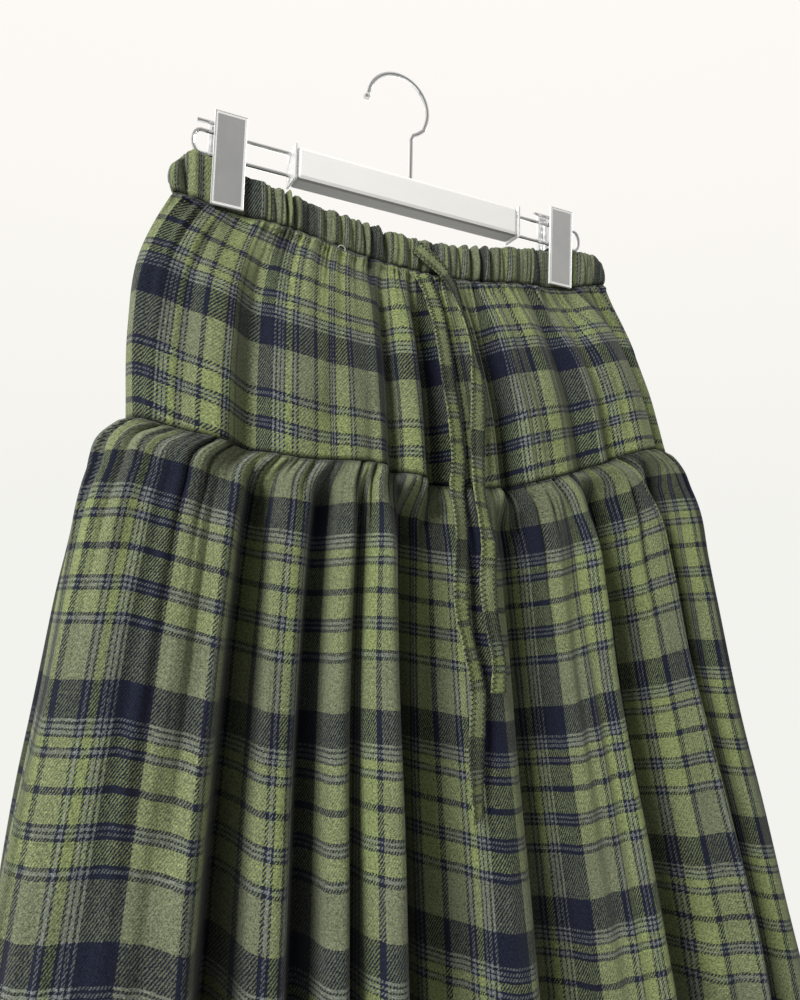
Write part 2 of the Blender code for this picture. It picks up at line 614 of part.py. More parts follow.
def make_plate(name, clip_x, sign, metal, root):
    """A clip plate: a thin leaning plate with a raised rim round a sunken panel."""
    mesh = bpy.data.meshes.new(name)
    work = bmesh.new()
    half = PLATE_WIDTH / 2
    corners = []
    for z in (-PLATE_HALF_HEIGHT, PLATE_HALF_HEIGHT):
        near = plate_inner(z)
        for x, y in ((-half, near), (half, near), (half, near + PLATE_THICK), (-half, near + PLATE_THICK)):
            corners.append(work.verts.new(((clip_x + x) * MM, sign * y * MM, z * MM)))
    a = corners
    quads = [(0, 3, 2, 1), (4, 5, 6, 7), (0, 1, 5, 4), (1, 2, 6, 5), (3, 0, 4, 7), (2, 3, 7, 6)]
    faces = [work.faces.new([a[i] for i in (q if sign > 0 else q[::-1])]) for q in quads]
    front = faces[-1]
    bmesh.ops.inset_region(work, faces=[front], thickness=PLATE_RIM * MM, depth=0.0)
    bmesh.ops.inset_region(work, faces=[front], thickness=0.25 * MM, depth=-PLATE_RECESS * MM)
    work.to_mesh(mesh)
    work.free()
    return new_object(name, mesh, metal, root)


def make_slider(name, clip_x, metal, root):
    """The block between a clip's plates, bored for both rods."""
    mesh = bpy.data.meshes.new(name)
    work = bmesh.new()
    half = SLIDER_WIDTH / 2
    low = ROD_LOW - 3.2
    high = PIN_Z - PIN_RADIUS - SEAM_GAP
    corners = []
    for z in (low, high):
        deep = plate_inner(z) - SEAM_GAP
        for x, y in ((-half, -deep), (half, -deep), (half, deep), (-half, deep)):
            corners.append(work.verts.new(((clip_x + x) * MM, y * MM, z * MM)))
    for q in ((0, 3, 2, 1), (4, 5, 6, 7), (0, 1, 5, 4), (1, 2, 6, 5), (2, 3, 7, 6), (3, 0, 4, 7)):
        work.faces.new([corners[i] for i in q])
    work.to_mesh(mesh)
    work.free()
    piece = new_object(name, mesh, metal, root)
    for index, z in enumerate((ROD_LOW, ROD_HIGH)):
        bore_mesh = bpy.data.meshes.new(f"{name}_bore_{index}")
        bore = bmesh.new()
        bmesh.ops.create_cone(bore, cap_ends=True, segments=16, radius1=(ROD_RADIUS + SEAM_GAP) * MM,
                              radius2=(ROD_RADIUS + SEAM_GAP) * MM, depth=3 * SLIDER_WIDTH * MM)
        bore.to_mesh(bore_mesh)
        bore.free()
        cutter = bpy.data.objects.new(f"{name}_bore_{index}", bore_mesh)
        bpy.context.scene.collection.objects.link(cutter)
        cutter.parent = root
        cutter.rotation_euler = (0, math.pi / 2, 0)
        cutter.location = (clip_x * MM, 0, z * MM)
        cutter.hide_render = True
        cutter.display_type = "WIRE"
        cut = piece.modifiers.new(f"bore_{index}", "BOOLEAN")
        cut.operation = "DIFFERENCE"
        cut.solver = "EXACT"
        cut.object = cutter
    return piece


def make_clips(metal, root):
    """The two sliding clips, each with two plates, a bored slider and a hinge pin."""
    for side, clip_x in CLIP_X.items():
        make_plate(f"clip_{side}_front", clip_x, -1, metal, root)
        make_plate(f"clip_{side}_back", clip_x, 1, metal, root)
        make_slider(f"clip_{side}_slider", clip_x, metal, root)
        ends = [(clip_x - PIN_LEFT, 0.0, PIN_Z), (clip_x + PIN_RIGHT, 0.0, PIN_Z)]
        make_wire(f"clip_{side}_pin", ends, PIN_RADIUS, metal, root)


def main():
    for thing in list(bpy.data.objects):
        bpy.data.objects.remove(thing, do_unlink=True)
    root = bpy.data.objects.new("skirt_on_hanger", None)
    bpy.context.scene.collection.objects.link(root)
    root.location = [-h * MM for h in HANG]

    cloth = make_material("plaid_flannel", (0.16, 0.20, 0.09), 0.92)
    casing = make_material("casing_flannel", (0.14, 0.18, 0.09), 0.92)
    tape = make_material("tie_flannel", (0.19, 0.25, 0.11), 0.92)
    chrome = make_material("chrome", (0.78, 0.79, 0.80), 0.15, 1.0)
    steel = make_material("plate_steel", (0.62, 0.63, 0.65), 0.28, 1.0)
    white = make_material("white_plastic", (0.90, 0.90, 0.89), 0.35)
    clear = make_material("clear_plastic", (0.86, 0.87, 0.87), 0.25)

    for side in ("front", "back"):
        make_band(side, casing, root)
        make_panel("yoke_" + side, side, WAIST_GATHERS[side], YOKE_LEVELS, yoke_out(side),
                   yoke_height, cloth, root)
        make_panel("tier_" + side, side, TIER_GATHERS[side], TIER_LEVELS, tier_out(side),
                   tier_height, cloth, root)
    make_tie("tie_short", TIE_SHORT, tape, root)
    make_tie("tie_long", TIE_LONG, tape, root)
    make_hook(chrome, root)
    make_bar(white, clear, root)
    make_rods(chrome, root)
    make_clips(steel, root)


main()
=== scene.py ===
"""The looks of a long plaid flannel skirt held by its waistband on a clip hanger.

The cloth is made as thin gathered sheets, with the plaid woven along each sheet's own threads.
Sizes are written in millimetres in the frame of the hanger: x from the middle of its bar,
y from the plane of its rods, z from the middle of its clip plates.
"""
import math
from collections import namedtuple

import bpy
import numpy as np
from mathutils import Matrix, Vector


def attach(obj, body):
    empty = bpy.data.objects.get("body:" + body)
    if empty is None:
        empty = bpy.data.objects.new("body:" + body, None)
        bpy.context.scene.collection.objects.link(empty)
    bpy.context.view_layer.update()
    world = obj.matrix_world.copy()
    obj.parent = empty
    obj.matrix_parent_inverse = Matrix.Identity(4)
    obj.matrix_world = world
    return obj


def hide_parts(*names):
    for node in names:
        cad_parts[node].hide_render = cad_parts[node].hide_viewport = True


bl_info = {
    "name": "Plaid skirt on a clip hanger",
    "version": (1, 0, 0),
    "blender": (4, 5, 0),
    "location": "View3D > Sidebar > Skirt",
    "description": "Makes a gathered plaid flannel skirt, its ties, its hanger and a pale stage",
    "category": "Object",
}

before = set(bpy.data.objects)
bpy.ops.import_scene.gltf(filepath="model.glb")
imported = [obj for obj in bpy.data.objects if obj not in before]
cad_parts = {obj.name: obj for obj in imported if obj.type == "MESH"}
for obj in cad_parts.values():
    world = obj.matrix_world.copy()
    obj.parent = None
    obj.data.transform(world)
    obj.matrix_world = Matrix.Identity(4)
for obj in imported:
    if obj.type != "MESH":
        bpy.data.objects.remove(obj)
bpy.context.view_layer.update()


def rows_of(kind, *rows):
    """A table whose rows have the named columns of a kind."""
    return [kind(*row) for row in rows]


MM = 0.001
SIDES = ("front", "back")
SEAM_GAP = 0.3
SHEET_THICK = 1.1
GATHERED_THICK = 0.9

# Camera: turn in degrees, place and near end in metres, lens and sensor in millimetres
CAMERA_YAW = 26.711
CAMERA_PITCH = 6.718
CAMERA_ROLL = 1.133
CAMERA_PLACE = (-0.2280, -0.4679, -0.3584)
CAMERA_LENS = 28.8
CAMERA_SENSOR = 36.0
CAMERA_NEAR = 0.02

# Stage, in metres
FLOOR_RADIUS = 1.27
FLOOR_CORNERS = 96
LAMP_COLOUR = (1.0, 0.985, 0.96)
Lamp = namedtuple("Lamp", "name place target size power")
LAMPS = [
    Lamp("key", (-1.9, -1.0, 0.95), (0.05, 0.0, -0.40), 0.8, 1.0),
    Lamp("back fill", (0.9, 1.7, 0.3), (0.05, 0.0, -0.5), 1.4, 0.15),
]

# Hanger sizes
HOOK_CENTRE_X = -10.5
HOOK_TOP_INNER = 97.5
CLIP_X = {"left": -128.0, "right": 124.0}
PLATE_HALF_WIDTH = 10.0
PLATE_HALF_HEIGHT = 29.4
PLATE_RIM = 1.5
PLATE_EDGE = 0.3
# Painted light: brightness painted into each clip's satin panel, the right one lighter than the left
PLATE_PAINTED_LIGHT = {"left": 0.80, "right": 0.95}

# Cloth lines across the front and back, x then z, left to right
LinePoint = namedtuple("LinePoint", "x z")
WAIST_TOP = rows_of(LinePoint,
    (-160, -8), (-155, 0), (-147, 2.5), (-128, -2.5), (-94, -9.5), (-50, -16.5), (0, -20.5),
    (40, -17.5), (85, -8.5), (124, -1.5), (150, 2.5), (163, 1.5), (171, -6)
)
WAIST_SEAM = rows_of(LinePoint,
    (-160, -25), (-128, -30.5), (-85, -34), (-40, -41), (0, -43.5), (48, -41.5), (85, -35.5),
    (124, -30.5), (150, -24), (171, -18)
)
HIP_SEAM = rows_of(LinePoint,
    (-178, -166), (-155, -172), (-120, -179), (-85, -184), (-42, -183), (0, -190), (45, -192),
    (85, -183), (130, -169), (170, -155), (208, -150)
)
SEAM_SAG_LOST = 0.5

# Smooth outline of each level below the seam above it
Level = namedtuple("Level", "drop left right front back left_back right_back square")
BAND_LEVELS = [
    Level(0, 160.0, 172.0, 8.4, 8.4, 0.0, 0.0, 3.2),
    Level(26, 159.0, 171.0, 8.0, 8.0, 0.0, 0.0, 3.2),
]
YOKE_LEVELS = [
    Level(0, 159.0, 171.0, 8.0, 8.0, 0.0, 0.0, 3.2),
    Level(12, 165.0, 178.0, 12.0, 10.5, 0.0, -1.0, 3.4),
    Level(42, 176.0, 194.0, 19.0, 15.0, 0.0, -4.0, 3.8),
    Level(90, 180.0, 206.0, 27.0, 20.0, 1.0, -8.0, 4.2),
    Level(146, 178.0, 208.0, 33.0, 24.0, 1.0, -10.0, 4.6),
]
TIER_LEVELS = [
    Level(0, 178.0, 208.0, 33.0, 24.0, 1.0, -10.0, 4.6),
    Level(10, 190.0, 219.0, 39.0, 29.0, 1.0, -10.0, 4.8),
    Level(32, 197.0, 229.0, 43.0, 33.0, 1.0, -10.0, 5.0),
    Level(80, 205.0, 239.0, 47.0, 37.0, 1.0, -11.0, 5.0),
    Level(170, 215.0, 254.0, 54.0, 41.0, 1.0, -13.0, 5.0),
    Level(320, 231.0, 286.0, 64.0, 46.0, 1.0, -16.0, 5.0),
    Level(690, 262.0, 350.0, 79.0, 54.0, 1.0, -22.0, 4.6),
]

# Folds: places across the cloth from 0, left side seam, to 1, right side seam, and how far the
# cloth stands out or in there, in millimetres, at the top and at the bottom of the panel
FoldPoint = namedtuple("FoldPoint", "place top_out low_out")
YOKE_FRONT_FOLDS = rows_of(FoldPoint,
    (0, 0, 0), (0.05, -1, -2), (0.1, -1, -2), (0.15, 1, 2), (0.195, -5, -7), (0.23, 0, 0),
    (0.3, 2, 4), (0.36, 3, 5), (0.386, 3, 5), (0.404, -5, -6), (0.425, 2, 4), (0.443, 3, 5),
    (0.463, -6, -9), (0.487, -6, -8), (0.512, -2, -3), (0.555, -1, 2), (0.582, 2, 5),
    (0.6, -6, -9), (0.63, 1, 3), (0.67, 2, 5), (0.705, 3, 5), (0.735, -3, -4), (0.77, 2, 5),
    (0.81, -3, -4), (0.85, 1, 4), (0.89, 1, 6), (0.93, -3, -4), (0.965, 0, 0), (1, 0, 0)
)
YOKE_BACK_FOLDS = rows_of(FoldPoint,
    (0, 0, 0), (0.06, -2, -3), (0.12, 1, 1), (0.19, -3, -4), (0.25, 1, 1), (0.3, 2, 4),
    (0.36, 0, 0), (0.4, -3, -5), (0.45, 1, 2), (0.5, 2, 4), (0.56, 1, 1), (0.62, -3, -4),
    (0.67, 1, 1), (0.73, 2, 3), (0.78, 0, 0), (0.83, -3, -5), (0.88, 0, 0), (0.93, -2, -3),
    (0.97, 0, 0), (1, 0, 0)
)
TIER_FRONT_FOLDS = rows_of(FoldPoint,
    (0, 0, 0), (0.03, 1, 3), (0.08, 2, 9), (0.135, 2, 11), (0.185, 3, 10), (0.215, 5, 13),
    (0.236, -10, -24), (0.252, -9, -19), (0.272, 1, 2), (0.292, 3, 7), (0.309, -7, -17),
    (0.322, -5, -11), (0.336, 2, 7), (0.347, 3, 9), (0.36, -5, -11), (0.373, 3, 8), (0.4, 7, 18),
    (0.421, -10, -26), (0.445, -9, -20), (0.47, -5, -11), (0.495, -2, -3), (0.53, 4, 12),
    (0.552, 3, 9), (0.582, -8, -20), (0.605, -5, -12), (0.632, 1, 5), (0.668, 4, 12),
    (0.693, 8, 20), (0.716, -11, -30), (0.735, -9, -22), (0.762, -1, -3), (0.79, 3, 9),
    (0.818, 7, 17), (0.84, -9, -24), (0.856, -6, -16), (0.873, 3, 8), (0.895, 5, 12),
    (0.915, 0, -2), (0.93, -3, -11), (0.955, -1, -3), (0.98, 0, 0), (1, 0, 0)
)
TIER_BACK_FOLDS = rows_of(FoldPoint,
    (0, 0, 0), (0.04, 1, 3), (0.09, 2, 6), (0.13, -1, -2), (0.165, -5, -13), (0.2, 0, 0),
    (0.235, 3, 7), (0.27, -1, -2), (0.3, -6, -15), (0.335, 0, 0), (0.375, 3, 8), (0.42, 0, 0),
    (0.455, -5, -14), (0.49, 0, 0), (0.55, 3, 8), (0.6, 0, 0), (0.635, -6, -16), (0.67, 0, 0),
    (0.72, 3, 7), (0.755, 0, 0), (0.79, -5, -13), (0.825, 0, 0), (0.865, 3, 6), (0.9, -3, -8),
    (0.935, 0, 2), (0.97, 0, 0), (1, 0, 0)
)

# Places across a panel where the navy stripes of the warp lie, and the flat cloth's width there.
# The cloth of the back is spread evenly instead.
StripeMark = namedtuple("StripeMark", "place across")
YOKE_MARKS = rows_of(StripeMark,
    (0, 0), (0.041, 26), (0.221, 142), (0.383, 258), (0.5, 374), (0.619, 490), (0.7475, 606),
    (1, 800)
)
TIER_MARKS = rows_of(StripeMark,
    (0, 0), (0.1375, 77), (0.315, 193), (0.415, 309), (0.528, 425), (0.62, 541), (0.7, 657),
    (0.842, 773), (0.895, 889), (1, 985)
)

# How far the weft sags across the front, in millimetres below its level at the side
SagPoint = namedtuple("SagPoint", "place sag")
YOKE_SAG = rows_of(SagPoint,
    (0, 60), (0.04, 62), (0.13, 67), (0.22, 73), (0.38, 78), (0.5, 71), (0.615, 63), (0.75, 61),
    (1, 64)
)
TIER_SAG = rows_of(SagPoint,
    (0, 0), (0.14, -1), (0.31, 4), (0.42, 2), (0.53, 4), (0.62, 6), (0.72, 4), (0.85, -3),
    (1, -3)
)

YOKE_FOLDS = {"front": YOKE_FRONT_FOLDS, "back": YOKE_BACK_FOLDS}
TIER_FOLDS = {"front": TIER_FRONT_FOLDS, "back": TIER_BACK_FOLDS}

# Directions that tell the fronts of folds from their walls at both ends of a panel, in degrees
FACING_LEFT = 5
FACING_RIGHT = 50

# Gathers, folds and side seams
WAIST_GATHERS = {"front": 34, "back": 30}
TIER_GATHERS = {"front": 27, "back": 23}
YOKE_PUCKER_OUT = 1.02
YOKE_PUCKER_RUN = 34.0
TIER_GATHER_OUT = 2.04
TIER_GATHER_RUN = 73.5
SEAM_TO_FOLDS = 60.0
FOLD_REACH = 1.5
FOLD_LEAN = 0.10
LOOSE_THREAD_LEFT = 51.0
YOKE_DRAWN_IN = 8.5
YOKE_DRAWN_FROM = 0.84
SIDE_SEAM_LAP = 0.12
SIDE_SEAM_FLAT = 0.02
ALLOWANCE_OUT = 1.3
ALLOWANCE_DROP = 3.4
YOKE_DEEPER = 1.6
TIER_DEEPER = 1.75
YOKE_SEAM_TO_FOLDS = 48.0
YOKE_FOLD_FADE = 45.0
YOKE_SEEDS = {"front": 11, "back": 12}
TIER_SEEDS = {"front": 21, "back": 22}
CASING_SEEDS = {"front": 41, "back": 42}

# Short tucks at a gathered seam: how far they stand out, how many there are to each gather, and
# how far down the shade between them runs
Tucks = namedtuple("Tucks", "out count fine_out fine_count shade_run")
YOKE_TUCKS = Tucks(2.6, 1.3, 1.6, 3.0, 11.0)
YOKE_TUCK_RUN = 19.0
TIER_TUCKS = Tucks(6.4, 1.4, 2.2, 3.1, 22.0)
CASING_RUFFLES = Tucks(1.2, 0.95, 0.35, 2.6, None)
CASING_RIDGE_OUT = 2.76
CASING_RUFFLE_LEAN = 0.006

# Uneven relief of hanging cloth: how far it stands out, how many across and how far each runs down
Relief = namedtuple("Relief", "out count run")
YOKE_CREASES = Relief(2.2, 52, 95)
YOKE_SWELLS = Relief(1.3, 26, 62)
YOKE_RIPPLES = Relief(0.6, 60, 40)
TIER_CREASES = Relief(3.2, 46, 150)
TIER_SWELLS = Relief(1.9, 30, 105)
TIER_RIPPLES = Relief(0.8, 70, 60)

# Shade in creases: columns looked along for a ridge, its softness, and the width at a seam
SHADE_REACH = 18
SHADE_SOFT = 5.0
SEAM_SHADE = 1.7

# Stitches: length, gap between two, and how far they stand out
Stitch = namedtuple("Stitch", "long gap stand")
HEM_STITCH = Stitch(2.6, 0.9, 0.22)
HEM_DEPTH = 18.0
HEM_THREAD = (0.05, 0.065, 0.045)
HEM_THREAD_RADIUS = 0.2
PALE_THREAD = (0.62, 0.62, 0.58)
PALE_THREAD_RADIUS = 0.3

# Casing section from its outer lower edge, over the top, to its inner lower edge
SectionPoint = namedtuple("SectionPoint", "up out")
BAND_SECTION = rows_of(SectionPoint,
    (0.0, 0.20), (0.05, 0.40), (0.16, 0.54), (0.32, 0.61), (0.50, 0.62), (0.68, 0.58),
    (0.83, 0.50), (0.93, 0.38), (0.985, 0.20), (1.0, 0.0), (0.98, -0.20), (0.92, -0.34),
    (0.75, -0.44), (0.5, -0.5), (0.25, -0.46), (0.04, -0.38)
)
BAND_THICK = 4.4
BAND_LEAN_IN = 0.4
CLAMPED_THICK = 4.0
CLAMP_HALF = 11.5
CLAMP_FADE = 12.0
CLAMP_RUN = 46.0
CLAMP_SPREAD = 0.6
CLAMP_OPENING = 0.24

CASING_COLUMNS = 18
CASING_MIDDLE_ROW = 12
CASING_SQUEEZE = 1.7
YOKE_SQUEEZE = 1.6

# Where the plaid starts on each panel, in metres: across the front and the back, and down
PlaidStart = namedtuple("PlaidStart", "front back down")
CASING_PLAID = PlaidStart(0.020, 0.055, 0.090)
YOKE_PLAID = PlaidStart(-0.0171, 0.055, -0.1371)
TIER_PLAID = PlaidStart(0.0859, 0.04, -0.0221)
TIE_PLAID_ACROSS = 0.0575

# How a hanging panel is laid out: columns to a gather, its first and longest row step and their
# growth, the drop at which its stripes are counted, and the rows where seams shade it
PanelPlan = namedtuple("PanelPlan", "levels gathers seeds tucks marks sag columns first_step "
                                    "last_step growth counted_at seam_rows")
YOKE = PanelPlan(YOKE_LEVELS, WAIST_GATHERS, YOKE_SEEDS, YOKE_TUCKS,
                 {"front": YOKE_MARKS, "back": rows_of(StripeMark, (0, 0), (1, 760))}, YOKE_SAG,
                 15, 1.1, 3.2, 1.05, 70.0, (0, -1))
TIER = PanelPlan(TIER_LEVELS, TIER_GATHERS, TIER_SEEDS, TIER_TUCKS,
                 {"front": TIER_MARKS, "back": rows_of(StripeMark, (0, 0), (1, 940))}, TIER_SAG,
                 19, 1.3, 10.5, 1.06, 190.0, (0,))

# Ties: points of the route and how far the tape is turned about it there, in degrees
TIE_WIDTH = 11.0
TIE_EDGE = 0.3
TIE_STATIONS = 151
TIE_LINES = 11
TIE_CURL = 0.35
OVERLOCK_PITCH = 1.5
OVERLOCK_TURNS = (0.45, 1.04)
OVERLOCK_HEIGHTS = (1.25, 0.60)
OVERLOCK_RADIUS = 0.27
OVERLOCK_THREAD = (0.022, 0.030, 0.030)
FRAY_STRANDS = 16
FRAY_RADIUS = 0.11
TiePoint = namedtuple("TiePoint", "x y z turn")
TIE_SHORT = rows_of(TiePoint,
    (0.0, -9.95, -27.5, 0), (6.5, -13.4, -34, 0), (14.5, -14.8, -40, 5), (22.5, -17.6, -51, 20),
    (26.3, -22.8, -67, 40), (29.4, -29.2, -86, 50), (31.6, -34.4, -106, 40),
    (32.2, -37.6, -120, 15), (30.6, -41.6, -141, 0), (28.2, -45.2, -162, 0),
    (26.6, -48.6, -182, 10), (25.5, -52.6, -198, 20), (25.4, -57.9, -214, 15),
    (26.4, -61.6, -231, 0), (25.0, -63.1, -252, -10), (25.6, -65.2, -270, 0),
    (27.6, -67.6, -287, 12), (29.0, -69.6, -301, 10), (27.6, -70.6, -317, 0)
)
TIE_LONG = rows_of(TiePoint,
    (4.0, -11.45, -47, 0), (7.6, -16.6, -60, 0), (10.0, -22.0, -75, 0), (12.0, -28.8, -100, 5),
    (13.2, -33.8, -125, 10), (15.8, -38.6, -155, 10), (17.0, -40.8, -178, 0),
    (14.6, -43.4, -196, 0), (13.4, -48.4, -208, 10), (12.7, -52.2, -221, 15),
    (11.8, -54.4, -240, 10), (10.7, -56.0, -258, 0), (10.6, -58.0, -272, 8),
    (12.6, -60.8, -286, 15), (15.4, -63.2, -301, 10), (17.6, -65.2, -318, 0),
    (16.4, -66.4, -332, 0), (15.4, -67.2, -346, 0), (15.0, -68.2, -360, 10),
    (15.2, -69.0, -374, 20), (15.4, -69.8, -386, 25)
)

# The ties, with where along the plaid each one starts and the seed of its unevenness
Tie = namedtuple("Tie", "name route plaid_start seed")
TIES = [Tie("tie_short", TIE_SHORT, 0.088, 31), Tie("tie_long", TIE_LONG, 0.045, 37)]

# The plaid: stripes of one repeat, as shares, with the yarn of the warp and of the weft
Stripe = namedtuple("Stripe", "share warp weft")
SETT = [
    Stripe(0.150, "navy", "navy"),
    Stripe(0.013, "pale", "pale"), Stripe(0.010, "navy", "navy"), Stripe(0.013, "pale", "pale"),
    Stripe(0.010, "navy", "navy"), Stripe(0.013, "pale", "pale"), Stripe(0.012, "dark", "dark"),
    Stripe(0.038, "green", "green"),
    Stripe(0.014, "dark", "dark"), Stripe(0.014, "pale", "pale"), Stripe(0.014, "dark", "dark"),
    Stripe(0.108, "sage", "green"),
    Stripe(0.028, "dark", "dark"),
    Stripe(0.108, "green", "green"),
    Stripe(0.013, "dark", "dark"), Stripe(0.012, "pale", "pale"), Stripe(0.013, "dark", "dark"),
    Stripe(0.012, "pale", "pale"), Stripe(0.013, "dark", "dark"),
    Stripe(0.092, "green", "green"),
    Stripe(0.016, "dark", "dark"), Stripe(0.016, "pale", "pale"), Stripe(0.016, "dark", "dark"),
    Stripe(0.223, "sage", "sage"),
]
YARN_WANDER = 0.0014
RAISED_FIBRE = (0.20, 0.22, 0.19)


def in_part(points):
    """Points in the hanger's frame, in millimetres, as points of the part, in metres."""
    return (np.asarray(points, float) - (HOOK_CENTRE_X, 0.0, HOOK_TOP_INNER)) * MM


def smooth_through(xs, ys, x):
    """Values at x of a smooth curve through the points (xs, ys)."""
    xs = np.asarray(xs, float)
    ys = np.asarray(ys, float)
    slope = np.gradient(ys, xs)
    x = np.clip(np.asarray(x, float), xs[0], xs[-1])
    k = np.clip(np.searchsorted(xs, x, side="right") - 1, 0, len(xs) - 2)
    step = xs[k + 1] - xs[k]
    t = (x - xs[k]) / step
    return (ys[k] * (1 + 2 * t) * (1 - t) ** 2 + ys[k + 1] * t * t * (3 - 2 * t)
            + step * (slope[k] * t * (1 - t) ** 2 - slope[k + 1] * t * t * (1 - t)))


def smooth_step(x):
    """Soft step from 0 at x <= 0 to 1 at x >= 1."""
    x = np.clip(x, 0.0, 1.0)
    return x * x * (3 - 2 * x)


def soft_noise(across, down, seed):
    """Smooth uneven values, about -1 to 1, one per unit across and down."""
    lattice = np.random.RandomState(seed).uniform(-1, 1, (257, 257))
    i = np.floor(across).astype(int)
    j = np.floor(down).astype(int)
    s = smooth_step(across - i)
    t = smooth_step(down - j)
    i %= 256
    j %= 256
    top = lattice[j, i] * (1 - s) + lattice[j, i + 1] * s
    low = lattice[j + 1, i] * (1 - s) + lattice[j + 1, i + 1] * s
    return top * (1 - t) + low * t


def line_height(line, x):
    """Height of a cloth line, such as a seam, at x."""
    return smooth_through([p.x for p in line], [p.z for p in line], x)


def run_along(points):
    """Running length along a row of points."""
    steps = np.linalg.norm(np.diff(points, axis=0), axis=1)
    return np.concatenate([[0], np.cumsum(steps)])


def along_run(at, run, values):
    """Rows of values read at places along a running length."""
    return np.column_stack([np.interp(at, run, column) for column in values.T])


def level_at(levels, drop):
    """The outline's sizes at a drop below the seam, read from the table."""
    drops = [row.drop for row in levels]
    values = [float(smooth_through(drops, [row[i] for row in levels], drop))
              for i in range(1, len(Level._fields))]
    return Level(drop, *values)


def outline(level, side, places):
    """Points and outward normals at places, 0 to 1, along a panel's outline."""
    depth = level.front if side == "front" else level.back
    sign = -1.0 if side == "front" else 1.0
    middle = (level.right - level.left) / 2
    half = (level.right + level.left) / 2
    angle = np.linspace(0, math.pi, 1441)
    power = 2 / level.square
    across = -np.sign(np.cos(angle)) * np.abs(np.cos(angle)) ** power
    x = middle + half * across
    side_y = level.left_back + (level.right_back - level.left_back) * (across + 1) / 2
    y = side_y + sign * depth * np.abs(np.sin(angle)) ** power
    run = np.concatenate([[0], np.cumsum(np.hypot(np.diff(x), np.diff(y)))])
    at = np.clip(places, 0, 1) * run[-1]
    tangent_x = np.interp(at, run, np.gradient(x, run))
    tangent_y = np.interp(at, run, np.gradient(y, run))
    size = np.hypot(tangent_x, tangent_y)
    normals = np.stack([-sign * tangent_y, sign * tangent_x], 1) / size[:, None]
    normals[0] = (-1, 0)
    normals[-1] = (1, 0)
    points = np.stack([np.interp(at, run, x), np.interp(at, run, y)], 1)
    return points, normals


def column_places(q, side):
    """Uneven places along the outline of columns at even shares q of the cloth."""
    turn = 0.0 if side == "front" else 1.7
    return (q + 0.006 * (np.sin(2 * math.pi * 3 * q + turn) - math.sin(turn))
            + 0.0026 * (np.sin(2 * math.pi * 7 * q + 2 * turn) - math.sin(2 * turn)))


def gather_wave(q, count, side):
    """Height, about -1 to 1, of the gathers, with round ridges, tight creases and uneven sizes."""
    gather = q * count
    turn = 0.4 if side == "front" else 2.1
    uneven = 0.82 + 0.18 * np.sin(gather * 1.9 + turn) + 0.12 * np.sin(gather * 0.83 + 2 * turn)
    ends = smooth_step(np.minimum(gather, count - gather) / 1.5)
    shift = 0.16 * np.sin(gather * 2.3 + turn) * np.sin(math.pi * gather) ** 2
    even = -np.cos(2 * math.pi * (gather + shift))
    crease = 2.2 * np.abs(np.sin(math.pi * (gather + shift))) ** 0.55 - 1.35
    return (0.3 * even + 0.7 * crease) * uneven * ends


def gather_runs(q, count, side):
    """How much longer or shorter than the mean each gather runs down."""
    gather = q * count
    turn = 0.9 if side == "front" else 2.8
    return 1.0 + 0.35 * np.sin(gather * 2.7 + turn) + 0.3 * np.sin(gather * 1.13 + 2 * turn)


def fold_depth(folds, q, down):
    """How far a panel's folds stand out at shares q of the cloth, for a share down the panel."""
    places = [point.place for point in folds]
    top = smooth_through(places, [point.top_out for point in folds], q)
    low = smooth_through(places, [point.low_out for point in folds], q)
    return top + (low - top) * down


def relief(q, down, size, seed):
    """Uneven values of a relief's size at shares q of the cloth."""
    return soft_noise(q * size.count, down / size.run, seed)


def clamp_share(x):
    """1 where a clip plate presses the cloth, 0 well away from it."""
    share = np.zeros_like(x)
    for clip_x in CLIP_X.values():
        share = np.maximum(share, 1 - smooth_step((np.abs(x - clip_x) - CLAMP_HALF) / CLAMP_FADE))
    return share


def free_of_sides(q):
    """0 at the side seams, 1 where the cloth between them is free to crease."""
    return smooth_step(np.minimum(q, 1 - q) / SIDE_SEAM_FLAT)


def deepened(folded, times):
    """Folds with their troughs sunk further than the solid's."""
    return np.where(folded < 0, folded * times, folded)


def pucker(q, count, seed):
    """Short uneven puckers of a gathered seam, from -1 in their creases to about 0.6."""
    at = q * count
    shift = 0.75 * soft_noise(at * 0.61, np.zeros_like(q), seed)
    size = 0.38 + 1.7 * soft_noise(at * 0.83, np.full_like(q, 5.0), seed + 1) ** 2
    crease = np.abs(np.sin(math.pi * (at + shift))) ** 0.6
    return size * (1.5 * crease - 1.0)


def tuck_relief(q, gathers, tucks, seed):
    """Short tucks of a gathered seam, with finer ones between them."""
    return (tucks.out * pucker(q, gathers * tucks.count, seed)
            + tucks.fine_out * pucker(q, gathers * tucks.fine_count, seed + 7))


def hanging_relief(q, drop, sizes, seed, starts):
    """Long creases, swells and ripples of the free cloth, and how far down each kind starts."""
    creases, swells, ripples = sizes
    down = np.full_like(q, drop)
    sharp = (-creases.out * np.abs(relief(q, down, creases, seed + 3)) ** 2
             * smooth_step(drop / starts[0]))
    soft = (swells.out * relief(q, down, swells, seed + 10)
            + ripples.out * relief(q, down, ripples, seed + 20))
    return sharp, soft * smooth_step(drop / starts[1])


